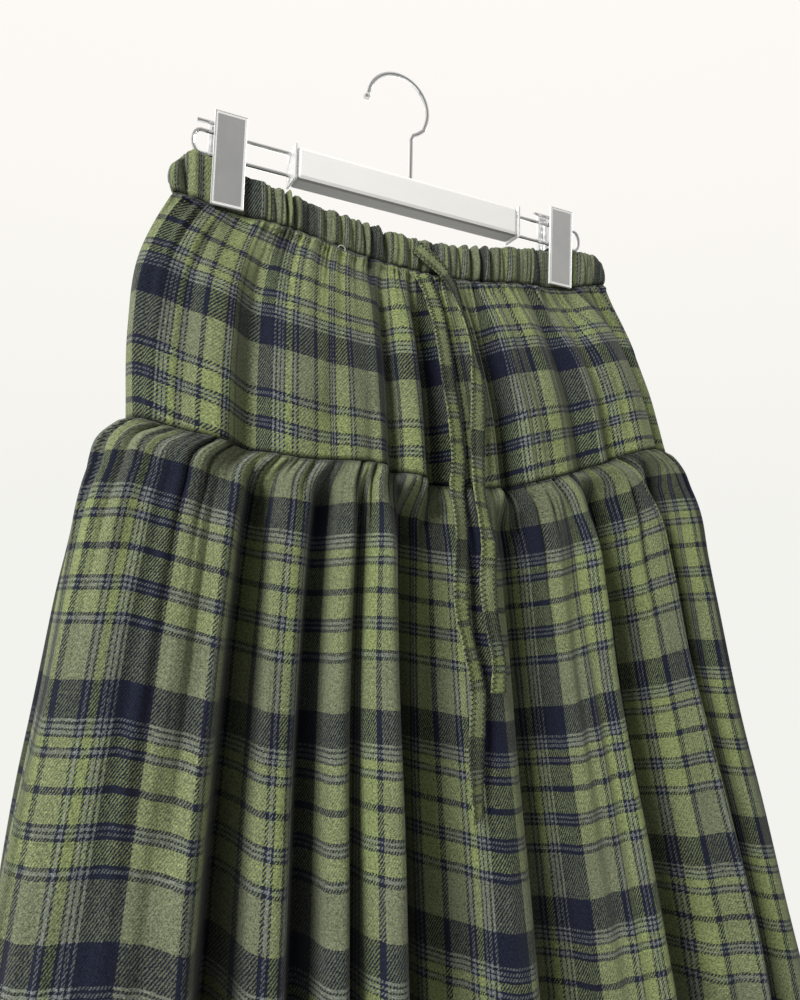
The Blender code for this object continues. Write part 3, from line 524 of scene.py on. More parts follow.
def yoke_out(drop, base, q, side):
    """Displacement of the yoke: casing puckers and clip pinch at the top, folds below."""
    count = WAIST_GATHERS[side]
    seed = YOKE_SEEDS[side]
    pinch = clamp_share(base[:, 0])
    pressed_in = np.abs(base[:, 1]) - (CLAMPED_THICK + SEAM_GAP + drop * CLAMP_OPENING)
    runs = gather_runs(q, count, side)
    fade = np.exp(-drop / (YOKE_PUCKER_RUN * runs))
    puckers = YOKE_PUCKER_OUT * gather_wave(q, count, side) * fade * (1 - pinch)
    below_clip = pinch * math.exp(-(drop / CLAMP_RUN) ** 2)
    share = drop / YOKE_LEVELS[-1].drop
    folded = deepened(fold_depth(YOKE_FOLDS[side], q, share), YOKE_DEEPER)
    folded = folded * smooth_step(drop / YOKE_SEAM_TO_FOLDS)
    free = smooth_step(drop / 2.5) * free_of_sides(q)
    allowance = ALLOWANCE_OUT * math.exp(-((drop - ALLOWANCE_DROP) / 2.0) ** 2) * (1 - pinch)
    tucks = tuck_relief(q, count, YOKE_TUCKS, seed)
    tucks = tucks * np.exp(-drop / (YOKE_TUCK_RUN * runs)) * (1 - pinch)
    creases, soft = hanging_relief(q, drop, (YOKE_CREASES, YOKE_SWELLS, YOKE_RIPPLES), seed,
                                   (20.0, 12.0))
    drawn_in = (YOKE_DRAWN_IN * smooth_step((q - YOKE_DRAWN_FROM) / 0.12)
                * math.sin(math.pi * share ** 0.8))
    return (puckers - drawn_in - pressed_in * below_clip + folded * (1 - below_clip)
            + (allowance + tucks + creases + soft) * free)


def tier_out(drop, base, q, side):
    """Displacement of the lower tier: the yoke's folds at the seam, then gathers and folds."""
    count = TIER_GATHERS[side]
    seed = TIER_SEEDS[side]
    from_yoke = (deepened(fold_depth(YOKE_FOLDS[side], q, 1.0), YOKE_DEEPER)
                 * math.exp(-drop / YOKE_FOLD_FADE))
    below_seam = smooth_step(drop / SEAM_TO_FOLDS)
    rise = smooth_step(drop / 5.0) * (0.75 + 1.15 * below_seam)
    runs = gather_runs(q, count, side)
    size = 0.7 + 0.6 * np.abs(np.sin(q * count * 1.37 + seed))
    fade = np.exp(-drop / (TIER_GATHER_RUN * runs))
    gathers = TIER_GATHER_OUT * gather_wave(q, count, side) * rise * fade * size
    reach = drop / TIER_LEVELS[-1].drop * FOLD_REACH
    ridges = np.maximum(fold_depth(TIER_FOLDS[side], q, min(1.0, reach)), 0) * below_seam
    troughs = np.minimum(fold_depth(TIER_FOLDS[side], q, min(1.0, reach + 0.25)), 0)
    own = ridges + troughs * TIER_DEEPER * smooth_step((drop - 2.0) / 26.0)
    short = smooth_step((drop + 1.0) / 4.0) * np.exp(-drop / (15.0 + 26.0 * np.abs(runs - 0.6)))
    tucks = tuck_relief(q, count, TIER_TUCKS, seed) * short
    creases, soft = hanging_relief(q, drop, (TIER_CREASES, TIER_SWELLS, TIER_RIPPLES), seed,
                                   (30.0, SEAM_TO_FOLDS))
    return from_yoke + gathers + own + (tucks + creases + soft) * free_of_sides(q)


def yoke_height(drop, x):
    """Height of the yoke's row, between the casing seam and the hip seam."""
    share = drop / YOKE_LEVELS[-1].drop
    top = line_height(WAIST_SEAM, x) - SEAM_GAP
    return top + (line_height(HIP_SEAM, x) - top) * share


def tier_height(drop, x):
    """Height of the lower tier's row, whose hem keeps most of the hip seam's sag."""
    share = drop / TIER_LEVELS[-1].drop
    seam = line_height(HIP_SEAM, x)
    middle = HIP_SEAM[4].z
    return middle + (seam - middle) * (1 - SEAM_SAG_LOST * share) - drop - SEAM_GAP


def cloth_rows(side, levels, drops, columns, out, height_line):
    """Grid of points of a panel's outer face, and the columns' shares of the cloth."""
    q = np.linspace(0, 1, columns)
    places = column_places(q, side)
    sign = -1.0 if side == "front" else 1.0
    rows = []
    for drop in drops:
        base, normals = outline(level_at(levels, drop), side, places)
        stands = out(drop, base, q, side)
        ends = smooth_step(np.minimum(q, 1 - q) / 0.04)
        lean = FOLD_LEAN * np.minimum(stands, 0) * ends
        tangents = np.stack([-sign * normals[:, 1], sign * normals[:, 0]], 1)
        moved = base + normals * stands[:, None] + tangents * lean[:, None]
        rows.append(np.column_stack([moved, height_line(drop, base[:, 0])]))
    grid = np.array(rows)
    for end in (0, -1):
        grid[:, end, 1] -= sign * SIDE_SEAM_LAP
    return grid, q


def cloth_across(row, marks):
    """Width of flat cloth, in millimetres, up to each column of a row through the given marks.
    The fronts of the folds lie at true width, and the walls that turn away take up the rest."""
    steps = np.diff(row[:, :2], axis=0)
    long = np.linalg.norm(steps, axis=1)
    turn = np.radians(np.linspace(FACING_LEFT, FACING_RIGHT, len(long)))
    facing = np.clip((steps[:, 0] * np.cos(turn) - steps[:, 1] * np.sin(turn)) / long, 0, 1)
    q = np.linspace(0, 1, len(row))
    fronts = np.concatenate([[0], np.cumsum(long * facing)])
    walls = np.concatenate([[0], np.cumsum(long * (1.02 - facing))])
    across = np.zeros(len(row))
    for start, end in zip(marks, marks[1:]):
        inside = (q >= start.place) & (q <= end.place)
        front_start, front_end = np.interp([start.place, end.place], q, fronts)
        wall_start, wall_end = np.interp([start.place, end.place], q, walls)
        wanted = end.across - start.across
        in_walls = max(0.12, (wanted - (front_end - front_start)) / (wall_end - wall_start))
        along = fronts[inside] - front_start + in_walls * (walls[inside] - wall_start)
        total = front_end - front_start + in_walls * (wall_end - wall_start)
        across[inside] = start.across + along * wanted / total
    return across


def weft_sag(points, q):
    """Sag of the weft at shares q of the cloth."""
    return smooth_through([point.place for point in points], [point.sag for point in points], q)


def dress(piece, material, node):
    """Give a piece its material, ride it on the body and hide what it stands for."""
    piece.data.materials.clear()
    piece.data.materials.append(material)
    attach(piece, "root")
    if node:
        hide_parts(node)


def link(name, mesh):
    """A new object in the scene for a mesh."""
    piece = bpy.data.objects.new(name, mesh)
    bpy.context.scene.collection.objects.link(piece)
    return piece


def fold_shade(grid, side, seams):
    """Painted shade in the cloth's creases and seams, 0 on the ridges to 1 deep beside a ridge."""
    depth = grid[:, :, 1] * (-1.0 if side == "front" else 1.0)
    shade = np.zeros(depth.shape)
    for back in range(1, SHADE_REACH + 1):
        left = np.pad(depth, ((0, 0), (back, 0)), mode="edge")[:, :-back]
        right = np.pad(depth, ((0, 0), (0, back)), mode="edge")[:, back:]
        step = np.abs(grid[:, :, 0] - np.roll(grid[:, :, 0], back, axis=1)) + SHADE_SOFT
        shade = np.maximum(shade, np.maximum(left - depth, 0.45 * (right - depth)) / step)
    shade = smooth_step((shade - 0.25) / 1.6)
    # Painted shade in a narrow line along each seam row
    for row in seams:
        from_seam = np.abs(grid[:, :, 2] - grid[row, :, 2])
        shade = np.maximum(shade, np.exp(-(from_seam / SEAM_SHADE) ** 2))
    return shade


def tuck_shade(q, drops, panel, side):
    """Shade between the short tucks below a gathered seam."""
    tucks = pucker(q, panel.gathers[side] * panel.tucks.count, panel.seeds[side])
    valley = smooth_step(-1.2 * tucks - 0.1)
    return valley[None, :] * np.exp(-drops[:, None] / panel.tucks.shade_run)


def opaque(colour, times=1.0):
    """A colour made brighter or darker, with the alpha that its socket wants."""
    return (*(min(1.0, c * times) for c in colour), 1.0)


def sheet_mesh(name, grid, cloth_u, cloth_v, flip, shade=None):
    """A sheet of quads from a grid of points in millimetres, with cloth coordinates in metres."""
    rows, columns = grid.shape[:2]
    verts = in_part(grid.reshape(-1, 3))
    index = np.arange(rows * columns).reshape(rows, columns)
    quads = np.stack([index[:-1, :-1], index[1:, :-1], index[1:, 1:], index[:-1, 1:]], -1)
    quads = quads.reshape(-1, 4)
    if flip:
        quads = quads[:, ::-1]
    mesh = bpy.data.meshes.new(name)
    mesh.from_pydata(verts.tolist(), [], quads.tolist())
    layer = mesh.uv_layers.new(name="cloth")
    corner_verts = quads.reshape(-1)
    u = np.broadcast_to(cloth_u, (rows, columns)).reshape(-1)[corner_verts]
    v = np.broadcast_to(cloth_v, (rows, columns)).reshape(-1)[corner_verts]
    layer.data.foreach_set("uv", np.stack([u, v], 1).reshape(-1))
    # The painted shade of creases and seams, when given, is stored on each point for the cloth's
    # material
    creases = mesh.attributes.new("creases", "FLOAT", "POINT")
    if shade is not None:
        creases.data.foreach_set("value", shade.reshape(-1))
    mesh.shade_smooth()
    return mesh


def thicken(piece, thickness):
    """A thin wall inward from a sheet's outer face."""
    shell = piece.modifiers.new("cloth wall", "SOLIDIFY")
    shell.thickness = thickness * MM
    shell.offset = -1.0
    shell.use_even_offset = False
    return shell


class Socket:
    """A number in a shader, on which Python's operators add Math nodes."""

    def __init__(self, shader, output):
        self.shader = shader
        self.output = output

    def maths(self, operation, *values):
        node = self.shader.node("ShaderNodeMath", {"operation": operation}, dict(enumerate(values)))
        return Socket(self.shader, node.outputs[0])

    def __add__(self, other):
        return self.maths("ADD", self, other)

    def __radd__(self, other):
        return self.maths("ADD", other, self)

    def __sub__(self, other):
        return self.maths("SUBTRACT", self, other)

    def __rsub__(self, other):
        return self.maths("SUBTRACT", other, self)

    def __mul__(self, other):
        return self.maths("MULTIPLY", self, other)

    def __rmul__(self, other):
        return self.maths("MULTIPLY", other, self)

    def __truediv__(self, other):
        return self.maths("DIVIDE", self, other)

    def __abs__(self):
        return self.maths("ABSOLUTE", self)

    def fract(self):
        return self.maths("FRACT", self)

    def between(self, low, high):
        """Soft step from 0 at low to 1 at high."""
        node = self.shader.node("ShaderNodeMapRange", {"interpolation_type": "SMOOTHSTEP"},
                                {"Value": self, "From Min": low, "From Max": high})
        return Socket(self.shader, node.outputs[0])

    def most(self, other):
        return self.maths("MAXIMUM", self, other)


class Shader:
    """A material or a world being built, and the one method that adds its nodes."""

    def __init__(self, owner):
        self.owner = owner
        owner.use_nodes = True
        self.tree = owner.node_tree
        self.tree.nodes.clear()

    def node(self, kind, settings=None, sockets=None):
        """Add a node: its settings first, then the values or links of its sockets."""
        node = self.tree.nodes.new(kind)
        for name, value in (settings or {}).items():
            if name == "stops":
                self.set_stops(node.color_ramp, value)
            else:
                setattr(node, name, value)
        for name, value in (sockets or {}).items():
            if isinstance(value, Socket):
                value = value.output
            if isinstance(value, bpy.types.NodeSocket):
                self.tree.links.new(value, node.inputs[name])
            else:
                node.inputs[name].default_value = value
        return node

    @staticmethod
    def set_stops(ramp, stops):
        while len(ramp.elements) > 1:
            ramp.elements.remove(ramp.elements[-1])
        ramp.interpolation = "CONSTANT"
        ramp.elements[0].position = stops[0][0]
        ramp.elements[0].color = stops[0][1]
        for position, colour in stops[1:]:
            ramp.elements.new(position).color = colour

    def number(self, node, output=0):
        """A node's output as a number to do maths with."""
        return Socket(self, node.outputs[output])

    def mix(self, share, first, second, blend="MIX"):
        """Two colours mixed by a share."""
        settings = {"data_type": "RGBA", "blend_type": blend, "clamp_result": False}
        return self.node("ShaderNodeMix", settings, {0: share, 6: first, 7: second}).outputs[2]

    def noise(self, vector, scale, detail=2.0, rough=0.5):
        """Noise from 0 to 1."""
        node = self.node("ShaderNodeTexNoise", {"noise_dimensions": "3D"},
                         {"Vector": vector, "Scale": scale, "Detail": detail, "Roughness": rough})
        return self.number(node)

    def place(self):
        """Where a point lies on its piece, in metres."""
        return self.node("ShaderNodeTexCoord").outputs["Object"]

    def part(self, vector, index):
        """One number of a vector."""
        return self.number(self.node("ShaderNodeSeparateXYZ", None, {0: vector}), index)

    def scaled(self, vector, times):
        """A vector with each of its numbers multiplied."""
        settings = {"operation": "MULTIPLY"}
        return self.node("ShaderNodeVectorMath", settings, {0: vector, 1: times}).outputs[0]

    def bump(self, height, strength, distance=0.0002):
        """A fine relief of the surface, for its Normal socket."""
        sockets = {"Strength": strength, "Distance": distance, "Height": height}
        return self.node("ShaderNodeBump", None, sockets).outputs[0]

    def finish(self, constants, varying):
        """The Principled shader: constants on its own sockets, what varies linked in."""
        sockets = dict(constants)
        sockets.update(varying)
        principled = self.node("ShaderNodeBsdfPrincipled", None, sockets)
        self.node("ShaderNodeOutputMaterial", None, {"Surface": principled.outputs[0]})
        return self.owner


def sett_stops(yarns, direction):
    """Ramp stops of the plaid's stripes in one direction."""
    total = sum(stripe.share for stripe in SETT)
    stops = []
    at = 0.0
    for stripe in SETT:
        stops.append((at / total, yarns[getattr(stripe, direction)]))
        at += stripe.share
    return stops


def plaid(name, settings, squeeze=1.0):
    """Brushed plaid twill: striped warp and weft, crossing in diagonal floats, under a nap.
    Squeeze is how much gathers narrow the stripes, which the floats and the nap don't follow."""
    shader = Shader(bpy.data.materials.new(name))
    sinks = {"navy": settings.sunk, "dark": settings.sunk * 0.4,
             "pale": 0.0, "green": 0.0, "sage": 0.0}
    yarns = {key: (*getattr(settings, key), sink) for key, sink in sinks.items()}
    flat = shader.node("ShaderNodeUVMap", {"uv_map": "cloth"}).outputs[0]
    cloth = shader.scaled(flat, (1.0 / squeeze, 1.0, 1.0))
    u = shader.part(flat, 0) + (shader.noise(cloth, 900.0) - 0.5) * YARN_WANDER
    v = shader.part(flat, 1) + (shader.noise(cloth, 830.0) - 0.5) * YARN_WANDER
    warp = shader.node("ShaderNodeValToRGB", {"stops": sett_stops(yarns, "warp")},
                       {0: (u / settings.repeat).fract()})
    weft = shader.node("ShaderNodeValToRGB", {"stops": sett_stops(yarns, "weft")},
                       {0: (v / settings.repeat).fract()})
    sunk = shader.number(warp, 1).most(shader.number(weft, 1))
    floats = abs(((u * (1.3 / squeeze) - v * 0.8) / settings.twill).fract() - 0.5) * 2.0
    breaks = shader.noise(cloth, 520.0, 3.0, 0.6)
    over = (floats + (breaks - 0.5) * 0.9).between(0.26, 0.74)
    woven = shader.mix(over, weft.outputs[0], warp.outputs[0])
    darker = shader.mix(1.0, warp.outputs[0], weft.outputs[0], "DARKEN")
    colour = shader.mix(sunk, woven, darker)
    nap = shader.noise(cloth, 1150.0, 3.0, 0.75)
    blotch = shader.noise(cloth, 560.0, 3.0, 0.65)
    cloud = shader.noise(cloth, 34.0, 3.0, 0.55)
    # Painted shade: the shade stored in the creases attribute darkens the cloth in its creases and
    # along its seams
    creases = shader.number(shader.node("ShaderNodeAttribute", {"attribute_name": "creases"}), "Fac")
    lift = (nap - 0.5) * 3.4 + (blotch - 0.5) * 2.0 + (cloud - 0.5) * 0.5 + 1.0
    lift = lift.most(0.15) * (1.0 - creases * settings.painted_crease_shade)
    grey = shader.node("ShaderNodeCombineColor", None, {0: lift, 1: lift, 2: lift}).outputs[0]
    colour = shader.mix(1.0, colour, grey, "MULTIPLY")
    fibre = nap.between(0.60, 0.84) * settings.nap
    colour = shader.mix(fibre, colour, opaque(RAISED_FIBRE))
    height = floats * 0.5 + nap * 0.6 + blotch * 0.4
    return shader.finish({"Sheen Weight": 0.12, "Sheen Roughness": 0.5, "Specular IOR Level": 0.12},
                         {"Base Color": colour, "Roughness": 0.84 + nap * 0.14,
                          "Normal": shader.bump(height, 0.6, 0.0005)})


def thread_material(name, colour):
    """Spun sewing thread."""
    shader = Shader(bpy.data.materials.new(name))
    fuzz = shader.noise(shader.place(), 2600.0, 2.0)
    tint = shader.mix(fuzz, opaque(colour, 0.6), opaque(colour, 1.35))
    return shader.finish({"Specular IOR Level": 0.25},
                         {"Base Color": tint, "Roughness": 0.65 + fuzz * 0.25,
                          "Normal": shader.bump(fuzz, 0.4)})


def chrome(name, colour):
    """Polished wire with a few faint smears."""
    shader = Shader(bpy.data.materials.new(name))
    where = shader.place()
    smear = shader.noise(where, 160.0, 4.0, 0.6)
    fine = shader.noise(where, 1400.0, 2.0)
    tint = shader.mix(smear, opaque(colour, 0.9), opaque(colour))
    return shader.finish({"Metallic": 1.0},
                         {"Base Color": tint, "Roughness": 0.08 + smear * 0.16,
                          "Normal": shader.bump(fine, 0.04)})


def plate_metal(name, clip_x, bright):
    """A clip plate: a polished rim, with its reflection painted near-white, round a satin panel with
    faint upright brushing.
    """
    shader = Shader(bpy.data.materials.new(name))
    where = shader.place()
    middle = (clip_x - HOOK_CENTRE_X) * MM
    from_side = abs(shader.part(where, 0) - middle)
    from_end = abs(shader.part(where, 2) + HOOK_TOP_INNER * MM)
    edge = PLATE_EDGE * MM
    side = (PLATE_HALF_WIDTH - PLATE_RIM) * MM
    end = (PLATE_HALF_HEIGHT - PLATE_RIM) * MM
    panel = (1 - from_side.between(side - edge, side)) * (1 - from_end.between(end - edge, end))
    brushing = shader.noise(shader.scaled(where, (1.0, 1.0, 0.04)), 2400.0, 3.0, 0.6)
    smear = shader.noise(where, 70.0, 3.0, 0.5)
    # The satin panel's colour is scaled by the clip's painted light
    satin = shader.mix(smear, opaque((0.84, 0.86, 0.87), bright), opaque((1.0, 1.0, 1.0), bright))
    # Painted reflection: the polished rim is painted near-white and left barely metallic
    tint = shader.mix(panel, (0.90, 0.90, 0.90, 1.0), satin)
    rough = 0.10 + smear * 0.05 + panel * (0.24 + brushing * 0.10)
    return shader.finish({"Specular IOR Level": 0.6},
                         {"Base Color": tint, "Metallic": panel * 0.85 + 0.1, "Roughness": rough,
                          "Normal": shader.bump(brushing * panel, 0.08)})


def white_plastic(name, colour):
    """Moulded white plastic with a fine satin skin and faint scuffs, and painted shade on its downward
    faces.
    """
    shader = Shader(bpy.data.materials.new(name))
    where = shader.place()
    cloud = shader.noise(where, 45.0, 4.0, 0.55)
    skin = shader.noise(where, 2200.0, 2.0)
    scuff = shader.noise(where, 420.0, 5.0, 0.75).between(0.60, 0.72)
    tint = shader.mix(cloud, opaque(colour, 0.96), opaque(colour))
    # Painted shade: faces that turn downward are darkened towards grey
    facing = shader.node("ShaderNodeNewGeometry").outputs["Normal"]
    painted_underside_shade = (0 - shader.part(facing, 2)).between(0.4, 0.8)
    tint = shader.mix(painted_underside_shade * 0.72, tint, (0.10, 0.10, 0.10, 1.0))
    rough = 0.28 + cloud * 0.1 + scuff * 0.2
    return shader.finish({"IOR": 1.5}, {"Base Color": tint, "Roughness": rough,
                                        "Normal": shader.bump(skin + scuff * 0.4, 0.06)})


def clear_plastic(name):
    """Milky clear plastic of the bar's end caps."""
    shader = Shader(bpy.data.materials.new(name))
    cloud = shader.noise(shader.place(), 90.0, 3.0, 0.5)
    tint = shader.mix(cloud, (0.80, 0.81, 0.81, 1.0), (0.90, 0.91, 0.91, 1.0))
    return shader.finish({"IOR": 1.47, "Transmission Weight": 0.35},
                         {"Base Color": tint, "Roughness": 0.10 + cloud * 0.12,
                          "Normal": shader.bump(cloud, 0.05)})


class ClothSettings(bpy.types.PropertyGroup):
    """Sizes and colours of the plaid cloth."""
    repeat: bpy.props.FloatProperty(
        name="Plaid repeat", description="Size of one repeat of the plaid", default=0.116, min=0.02,
        unit="LENGTH", subtype="DISTANCE")
    twill: bpy.props.FloatProperty(
        name="Twill pitch", description="Distance from one diagonal float to the next", default=0.0021,
        min=0.0005, unit="LENGTH", subtype="DISTANCE")
    sunk: bpy.props.FloatProperty(
        name="Sunk floats", description="How far floats of the paler yarn sink among darker ones",
        default=0.42, min=0.0, max=1.0, subtype="FACTOR")
    # Strength of the painted shade in the cloth's creases and along its seams
    painted_crease_shade: bpy.props.FloatProperty(
        name="Crease shade", description="How much darker the cloth is deep in its creases",
        default=0.72, min=0.0, max=1.0, subtype="FACTOR")
    nap: bpy.props.FloatProperty(
        name="Nap", description="How much of the cloth its raised pale fibres cover", default=0.32,
        min=0.0, max=1.0, subtype="FACTOR")
    navy: bpy.props.FloatVectorProperty(
        name="Navy yarn", description="Colour of the broad dark stripe",
        default=(0.0068, 0.0096, 0.0225), size=3, min=0.0, max=1.0, subtype="COLOR")
    dark: bpy.props.FloatVectorProperty(
        name="Dark yarn", description="Colour of the thin dark lines",
        default=(0.0095, 0.0135, 0.0265), size=3, min=0.0, max=1.0, subtype="COLOR")
    pale: bpy.props.FloatVectorProperty(
        name="Pale yarn", description="Colour of the thin pale lines", default=(0.135, 0.152, 0.152),
        size=3, min=0.0, max=1.0, subtype="COLOR")
    green: bpy.props.FloatVectorProperty(
        name="Green yarn", description="Colour of the bright olive stripes",
        default=(0.184, 0.222, 0.094), size=3, min=0.0, max=1.0, subtype="COLOR")
    sage: bpy.props.FloatVectorProperty(
        name="Sage yarn", description="Colour of the greyer green stripes",
        default=(0.136, 0.154, 0.094), size=3, min=0.0, max=1.0, subtype="COLOR")


class HangerSettings(bpy.types.PropertyGroup):
    """Colours of the hanger."""
    plastic: bpy.props.FloatVectorProperty(
        name="Bar", description="Colour of the white plastic bar", default=(0.96, 0.96, 0.95),
        size=3, min=0.0, max=1.0, subtype="COLOR")
    metal: bpy.props.FloatVectorProperty(
        name="Wire", description="Colour of the polished hook and rods", default=(0.78, 0.79, 0.80),
        size=3, min=0.0, max=1.0, subtype="COLOR")


class StageSettings(bpy.types.PropertyGroup):
    """Floor and light."""
    floor_height: bpy.props.FloatProperty(
        name="Floor", description="Height of the floor below the hook", default=-1.25,
        unit="LENGTH", subtype="DISTANCE")
    backdrop: bpy.props.FloatProperty(
        name="Backdrop", description="Brightness of the room behind the skirt", default=1.0, min=0.0)
    room: bpy.props.FloatProperty(
        name="Room", description="Brightness of the room in front, as a share of the backdrop",
        default=0.32, min=0.0, max=1.0, subtype="FACTOR")
    key: bpy.props.FloatProperty(
        name="Key light", description="Power of the large soft lamp", default=70.0, min=0.0,
        unit="POWER")


class SKIRT_OT_camera(bpy.types.Operator):
    """Place the camera below and to the left of the skirt's front"""
    bl_idname = "skirt.camera"
    bl_label = "Camera"

    def execute(self, context):
        yaw, pitch, roll = (math.radians(a) for a in (CAMERA_YAW, CAMERA_PITCH, CAMERA_ROLL))
        forward = Vector((math.sin(yaw) * math.cos(pitch), math.cos(yaw) * math.cos(pitch),
                          math.sin(pitch)))
        level_right = Vector((math.cos(yaw), -math.sin(yaw), 0.0))
        level_up = level_right.cross(forward)
        right = math.cos(roll) * level_right + math.sin(roll) * level_up
        up = -math.sin(roll) * level_right + math.cos(roll) * level_up
        data = bpy.data.cameras.new("camera")
        data.lens = CAMERA_LENS
        data.sensor_width = CAMERA_SENSOR
        data.clip_start = CAMERA_NEAR
        camera = bpy.data.objects.new("camera", data)
        context.scene.collection.objects.link(camera)
        turn = Matrix((right, up, -forward)).transposed().to_4x4()
        camera.matrix_world = Matrix.Translation(CAMERA_PLACE) @ turn
        context.scene.camera = camera
        return {"FINISHED"}


def tie_frames(route, stations):
    """Places, along, wide and thick directions at even stations of a tie's route."""
    rows = np.array(route, float)
    run = run_along(rows[:, :3])
    at = np.linspace(0, run[-1], stations)
    smooth = np.column_stack([smooth_through(run, rows[:, i], at) for i in range(4)])
    along = np.gradient(smooth[:, :3], axis=0)
    along /= np.linalg.norm(along, axis=1)[:, None]
    across = np.cross(along, (0.0, -1.0, 0.0))
    across /= np.linalg.norm(across, axis=1)[:, None]
    outward = np.cross(across, along)
    turn = np.radians(smooth[:, 3])[:, None]
    wide = across * np.cos(turn) + outward * np.sin(turn)
    thick = np.cross(wide, along)
    thick *= np.where(thick[:, 1] > 0, -1.0, 1.0)[:, None]
    return smooth[:, :3], wide, thick, run_along(smooth[:, :3])


def thread_tube(name, runs, radius, material):
    """Sewing threads along lists of points in millimetres, as one curve."""
    curve = bpy.data.curves.new(name, "CURVE")
    curve.dimensions = "3D"
    curve.bevel_depth = radius * MM
    curve.bevel_resolution = 1
    curve.use_fill_caps = True
    for points in runs:
        spline = curve.splines.new("POLY")
        spline.points.add(len(points) - 1)
        places = in_part(points)
        spline.points.foreach_set("co", np.column_stack([places, np.ones(len(places))]).reshape(-1))
    piece = bpy.data.objects.new(name, curve)
    bpy.context.scene.collection.objects.link(piece)
    dress(piece, material, None)
    return piece


def stitch_row(name, row, stitch, material):
    """A row of straight stitches along a row of points, a little proud of the cloth."""
    run = run_along(row)
    along = np.gradient(row, axis=0)
    out = np.column_stack([along[:, 1], -along[:, 0], 0 * along[:, 0]])
    out /= np.linalg.norm(out, axis=1)[:, None]
    out *= np.sign(out[len(out) // 2, 1]) * np.sign(row[len(row) // 2, 1])
    stitches = []
    for start in np.arange(2.0, run[-1] - stitch.long - 2.0, stitch.long + stitch.gap):
        at = start + stitch.long * np.array([0.0, 0.5, 1.0])
        lift = stitch.stand * np.array([-0.6, 1.0, -0.6])
        stitches.append(along_run(at, run, row) + along_run(at, run, out) * lift[:, None])
    return thread_tube(name, stitches, HEM_THREAD_RADIUS, material)


def overlock_stitches(places, wide, thick, run, side):
    """Zigzag thread over one edge of a tie, from inside the edge to round it."""
    steps = int(run[-1] / OVERLOCK_PITCH)
    at = np.linspace(0.5, run[-1] - 0.5, steps)
    even = np.arange(steps) % 2 == 0
    across = np.where(even, *OVERLOCK_TURNS) * side * (TIE_WIDTH / 2 - TIE_EDGE)
    height = np.where(even, *OVERLOCK_HEIGHTS)
    return (along_run(at, run, places) + along_run(at, run, wide) * across[:, None]
            + along_run(at, run, thick) * height[:, None])


def frayed_threads(places, wide, thick, seed):
    """Short bent threads at a tie's cut end."""
    random = np.random.RandomState(seed)
    frays = []
    for strand in range(FRAY_STRANDS):
        share = -1 + 2 * (strand + 0.5) / FRAY_STRANDS + random.uniform(-0.05, 0.05)
        start = places[-1] + wide[-1] * share * TIE_WIDTH * 0.44
        down = (places[-1] - places[-4]) / np.linalg.norm(places[-1] - places[-4])
        bend = wide[-1] * random.uniform(-1.4, 1.4) + thick[-1] * random.uniform(-0.4, 1.0)
        long = random.uniform(0.8, 3.4) * (1.5 if abs(share) > 0.8 else 1.0)
        frays.append([start + down * long * t + bend * t * t for t in np.linspace(0, 1, 5)])
    return frays


def tie_strip(tie, material, thread):
    """A tie: a soft tape with curled edges, overlocked along both sides, frayed at its end."""
    name = tie.name + "_tape"
    places, wide, thick, run = tie_frames(tie.route, TIE_STATIONS)
    shares = np.linspace(-1, 1, TIE_LINES)
    ripple = soft_noise(run / 14.0, np.full_like(run, 3.0), tie.seed)
    cup = 0.5 * soft_noise(run / 26.0, np.full_like(run, 9.0), tie.seed + 1)
    grid = []
    for share in shares:
        uneven = soft_noise(run / 3.2, np.full_like(run, share * 4 + 20), tie.seed + 2)
        edge = 0.35 * uneven * abs(share) ** 3
        half = TIE_WIDTH / 2 - TIE_EDGE + 0.25 * ripple + edge
        lift = TIE_CURL * (1 - share ** 2) + cup * (share ** 2 - 0.4) * 0.7
        grid.append(places + wide * (share * half)[:, None] + thick * lift[:, None])
    across = (shares * TIE_WIDTH / 2 * MM)[:, None] + TIE_PLAID_ACROSS
    along = tie.plaid_start + (run * MM)[None, :]
    piece = link(name, sheet_mesh(name, np.array(grid), across, along, False))
    dress(piece, material, tie.name)
    wall = thicken(piece, GATHERED_THICK)
    wall.offset = 0.0
    edges = [overlock_stitches(places, wide, thick, run, side) for side in (-1, 1)]
    sewing = thread_tube(name + "_overlock", edges, OVERLOCK_RADIUS, thread)
    frays = frayed_threads(places, wide, thick, tie.seed)
    fray = thread_tube(name + "_fray", frays, FRAY_RADIUS, thread)
    return piece


class SKIRT_OT_ties(bpy.types.Operator):
    """Make the two free ends of the drawstring"""
    bl_idname = "skirt.ties"
    bl_label = "Ties"

    def execute(self, context):
        cloth = plaid("tie flannel", context.scene.skirt_cloth)
        thread = thread_material("overlock thread", OVERLOCK_THREAD)
        for tie in TIES:
            tie_strip(tie, cloth, thread)
        return {"FINISHED"}


def panel_drops(height, near, far, grow):
    """Row drops from 0 to height, close together near the top seam."""
    drops = [0.0]
    step = near
    while drops[-1] < height:
        drops.append(drops[-1] + step)
        step = min(far, step * grow)
    return np.array(drops) * height / drops[-1]


def laid_panel(panel, side, out, height_line):
    """A panel's outer face and its rows' drops, the cloth across and the sag at its columns,
    and the shade in its creases."""
    drops = panel_drops(panel.levels[-1].drop, panel.first_step, panel.last_step, panel.growth)
    columns = panel.gathers[side] * panel.columns + 1
    grid, q = cloth_rows(side, panel.levels, drops, columns, out, height_line)
    across = cloth_across(grid[np.searchsorted(drops, panel.counted_at)], panel.marks[side])
    sag = weft_sag(panel.sag, q if side == "front" else 0 * q)
    shade = np.maximum(fold_shade(grid, side, panel.seam_rows), tuck_shade(q, drops, panel, side))
    return grid, drops, across[None, :], sag[None, :], shade


def cloth_piece(node, side, material, mesh_parts, thickness):
    """A piece of cloth on the outer face of a node, from a grid, cloth coordinates and shade."""
    grid, cloth_u, cloth_v, shade = mesh_parts
    name = node + "_cloth"
    piece = link(name, sheet_mesh(name, grid, cloth_u, cloth_v, side == "back", shade))
    dress(piece, material, node)
    thicken(piece, thickness)
    return piece


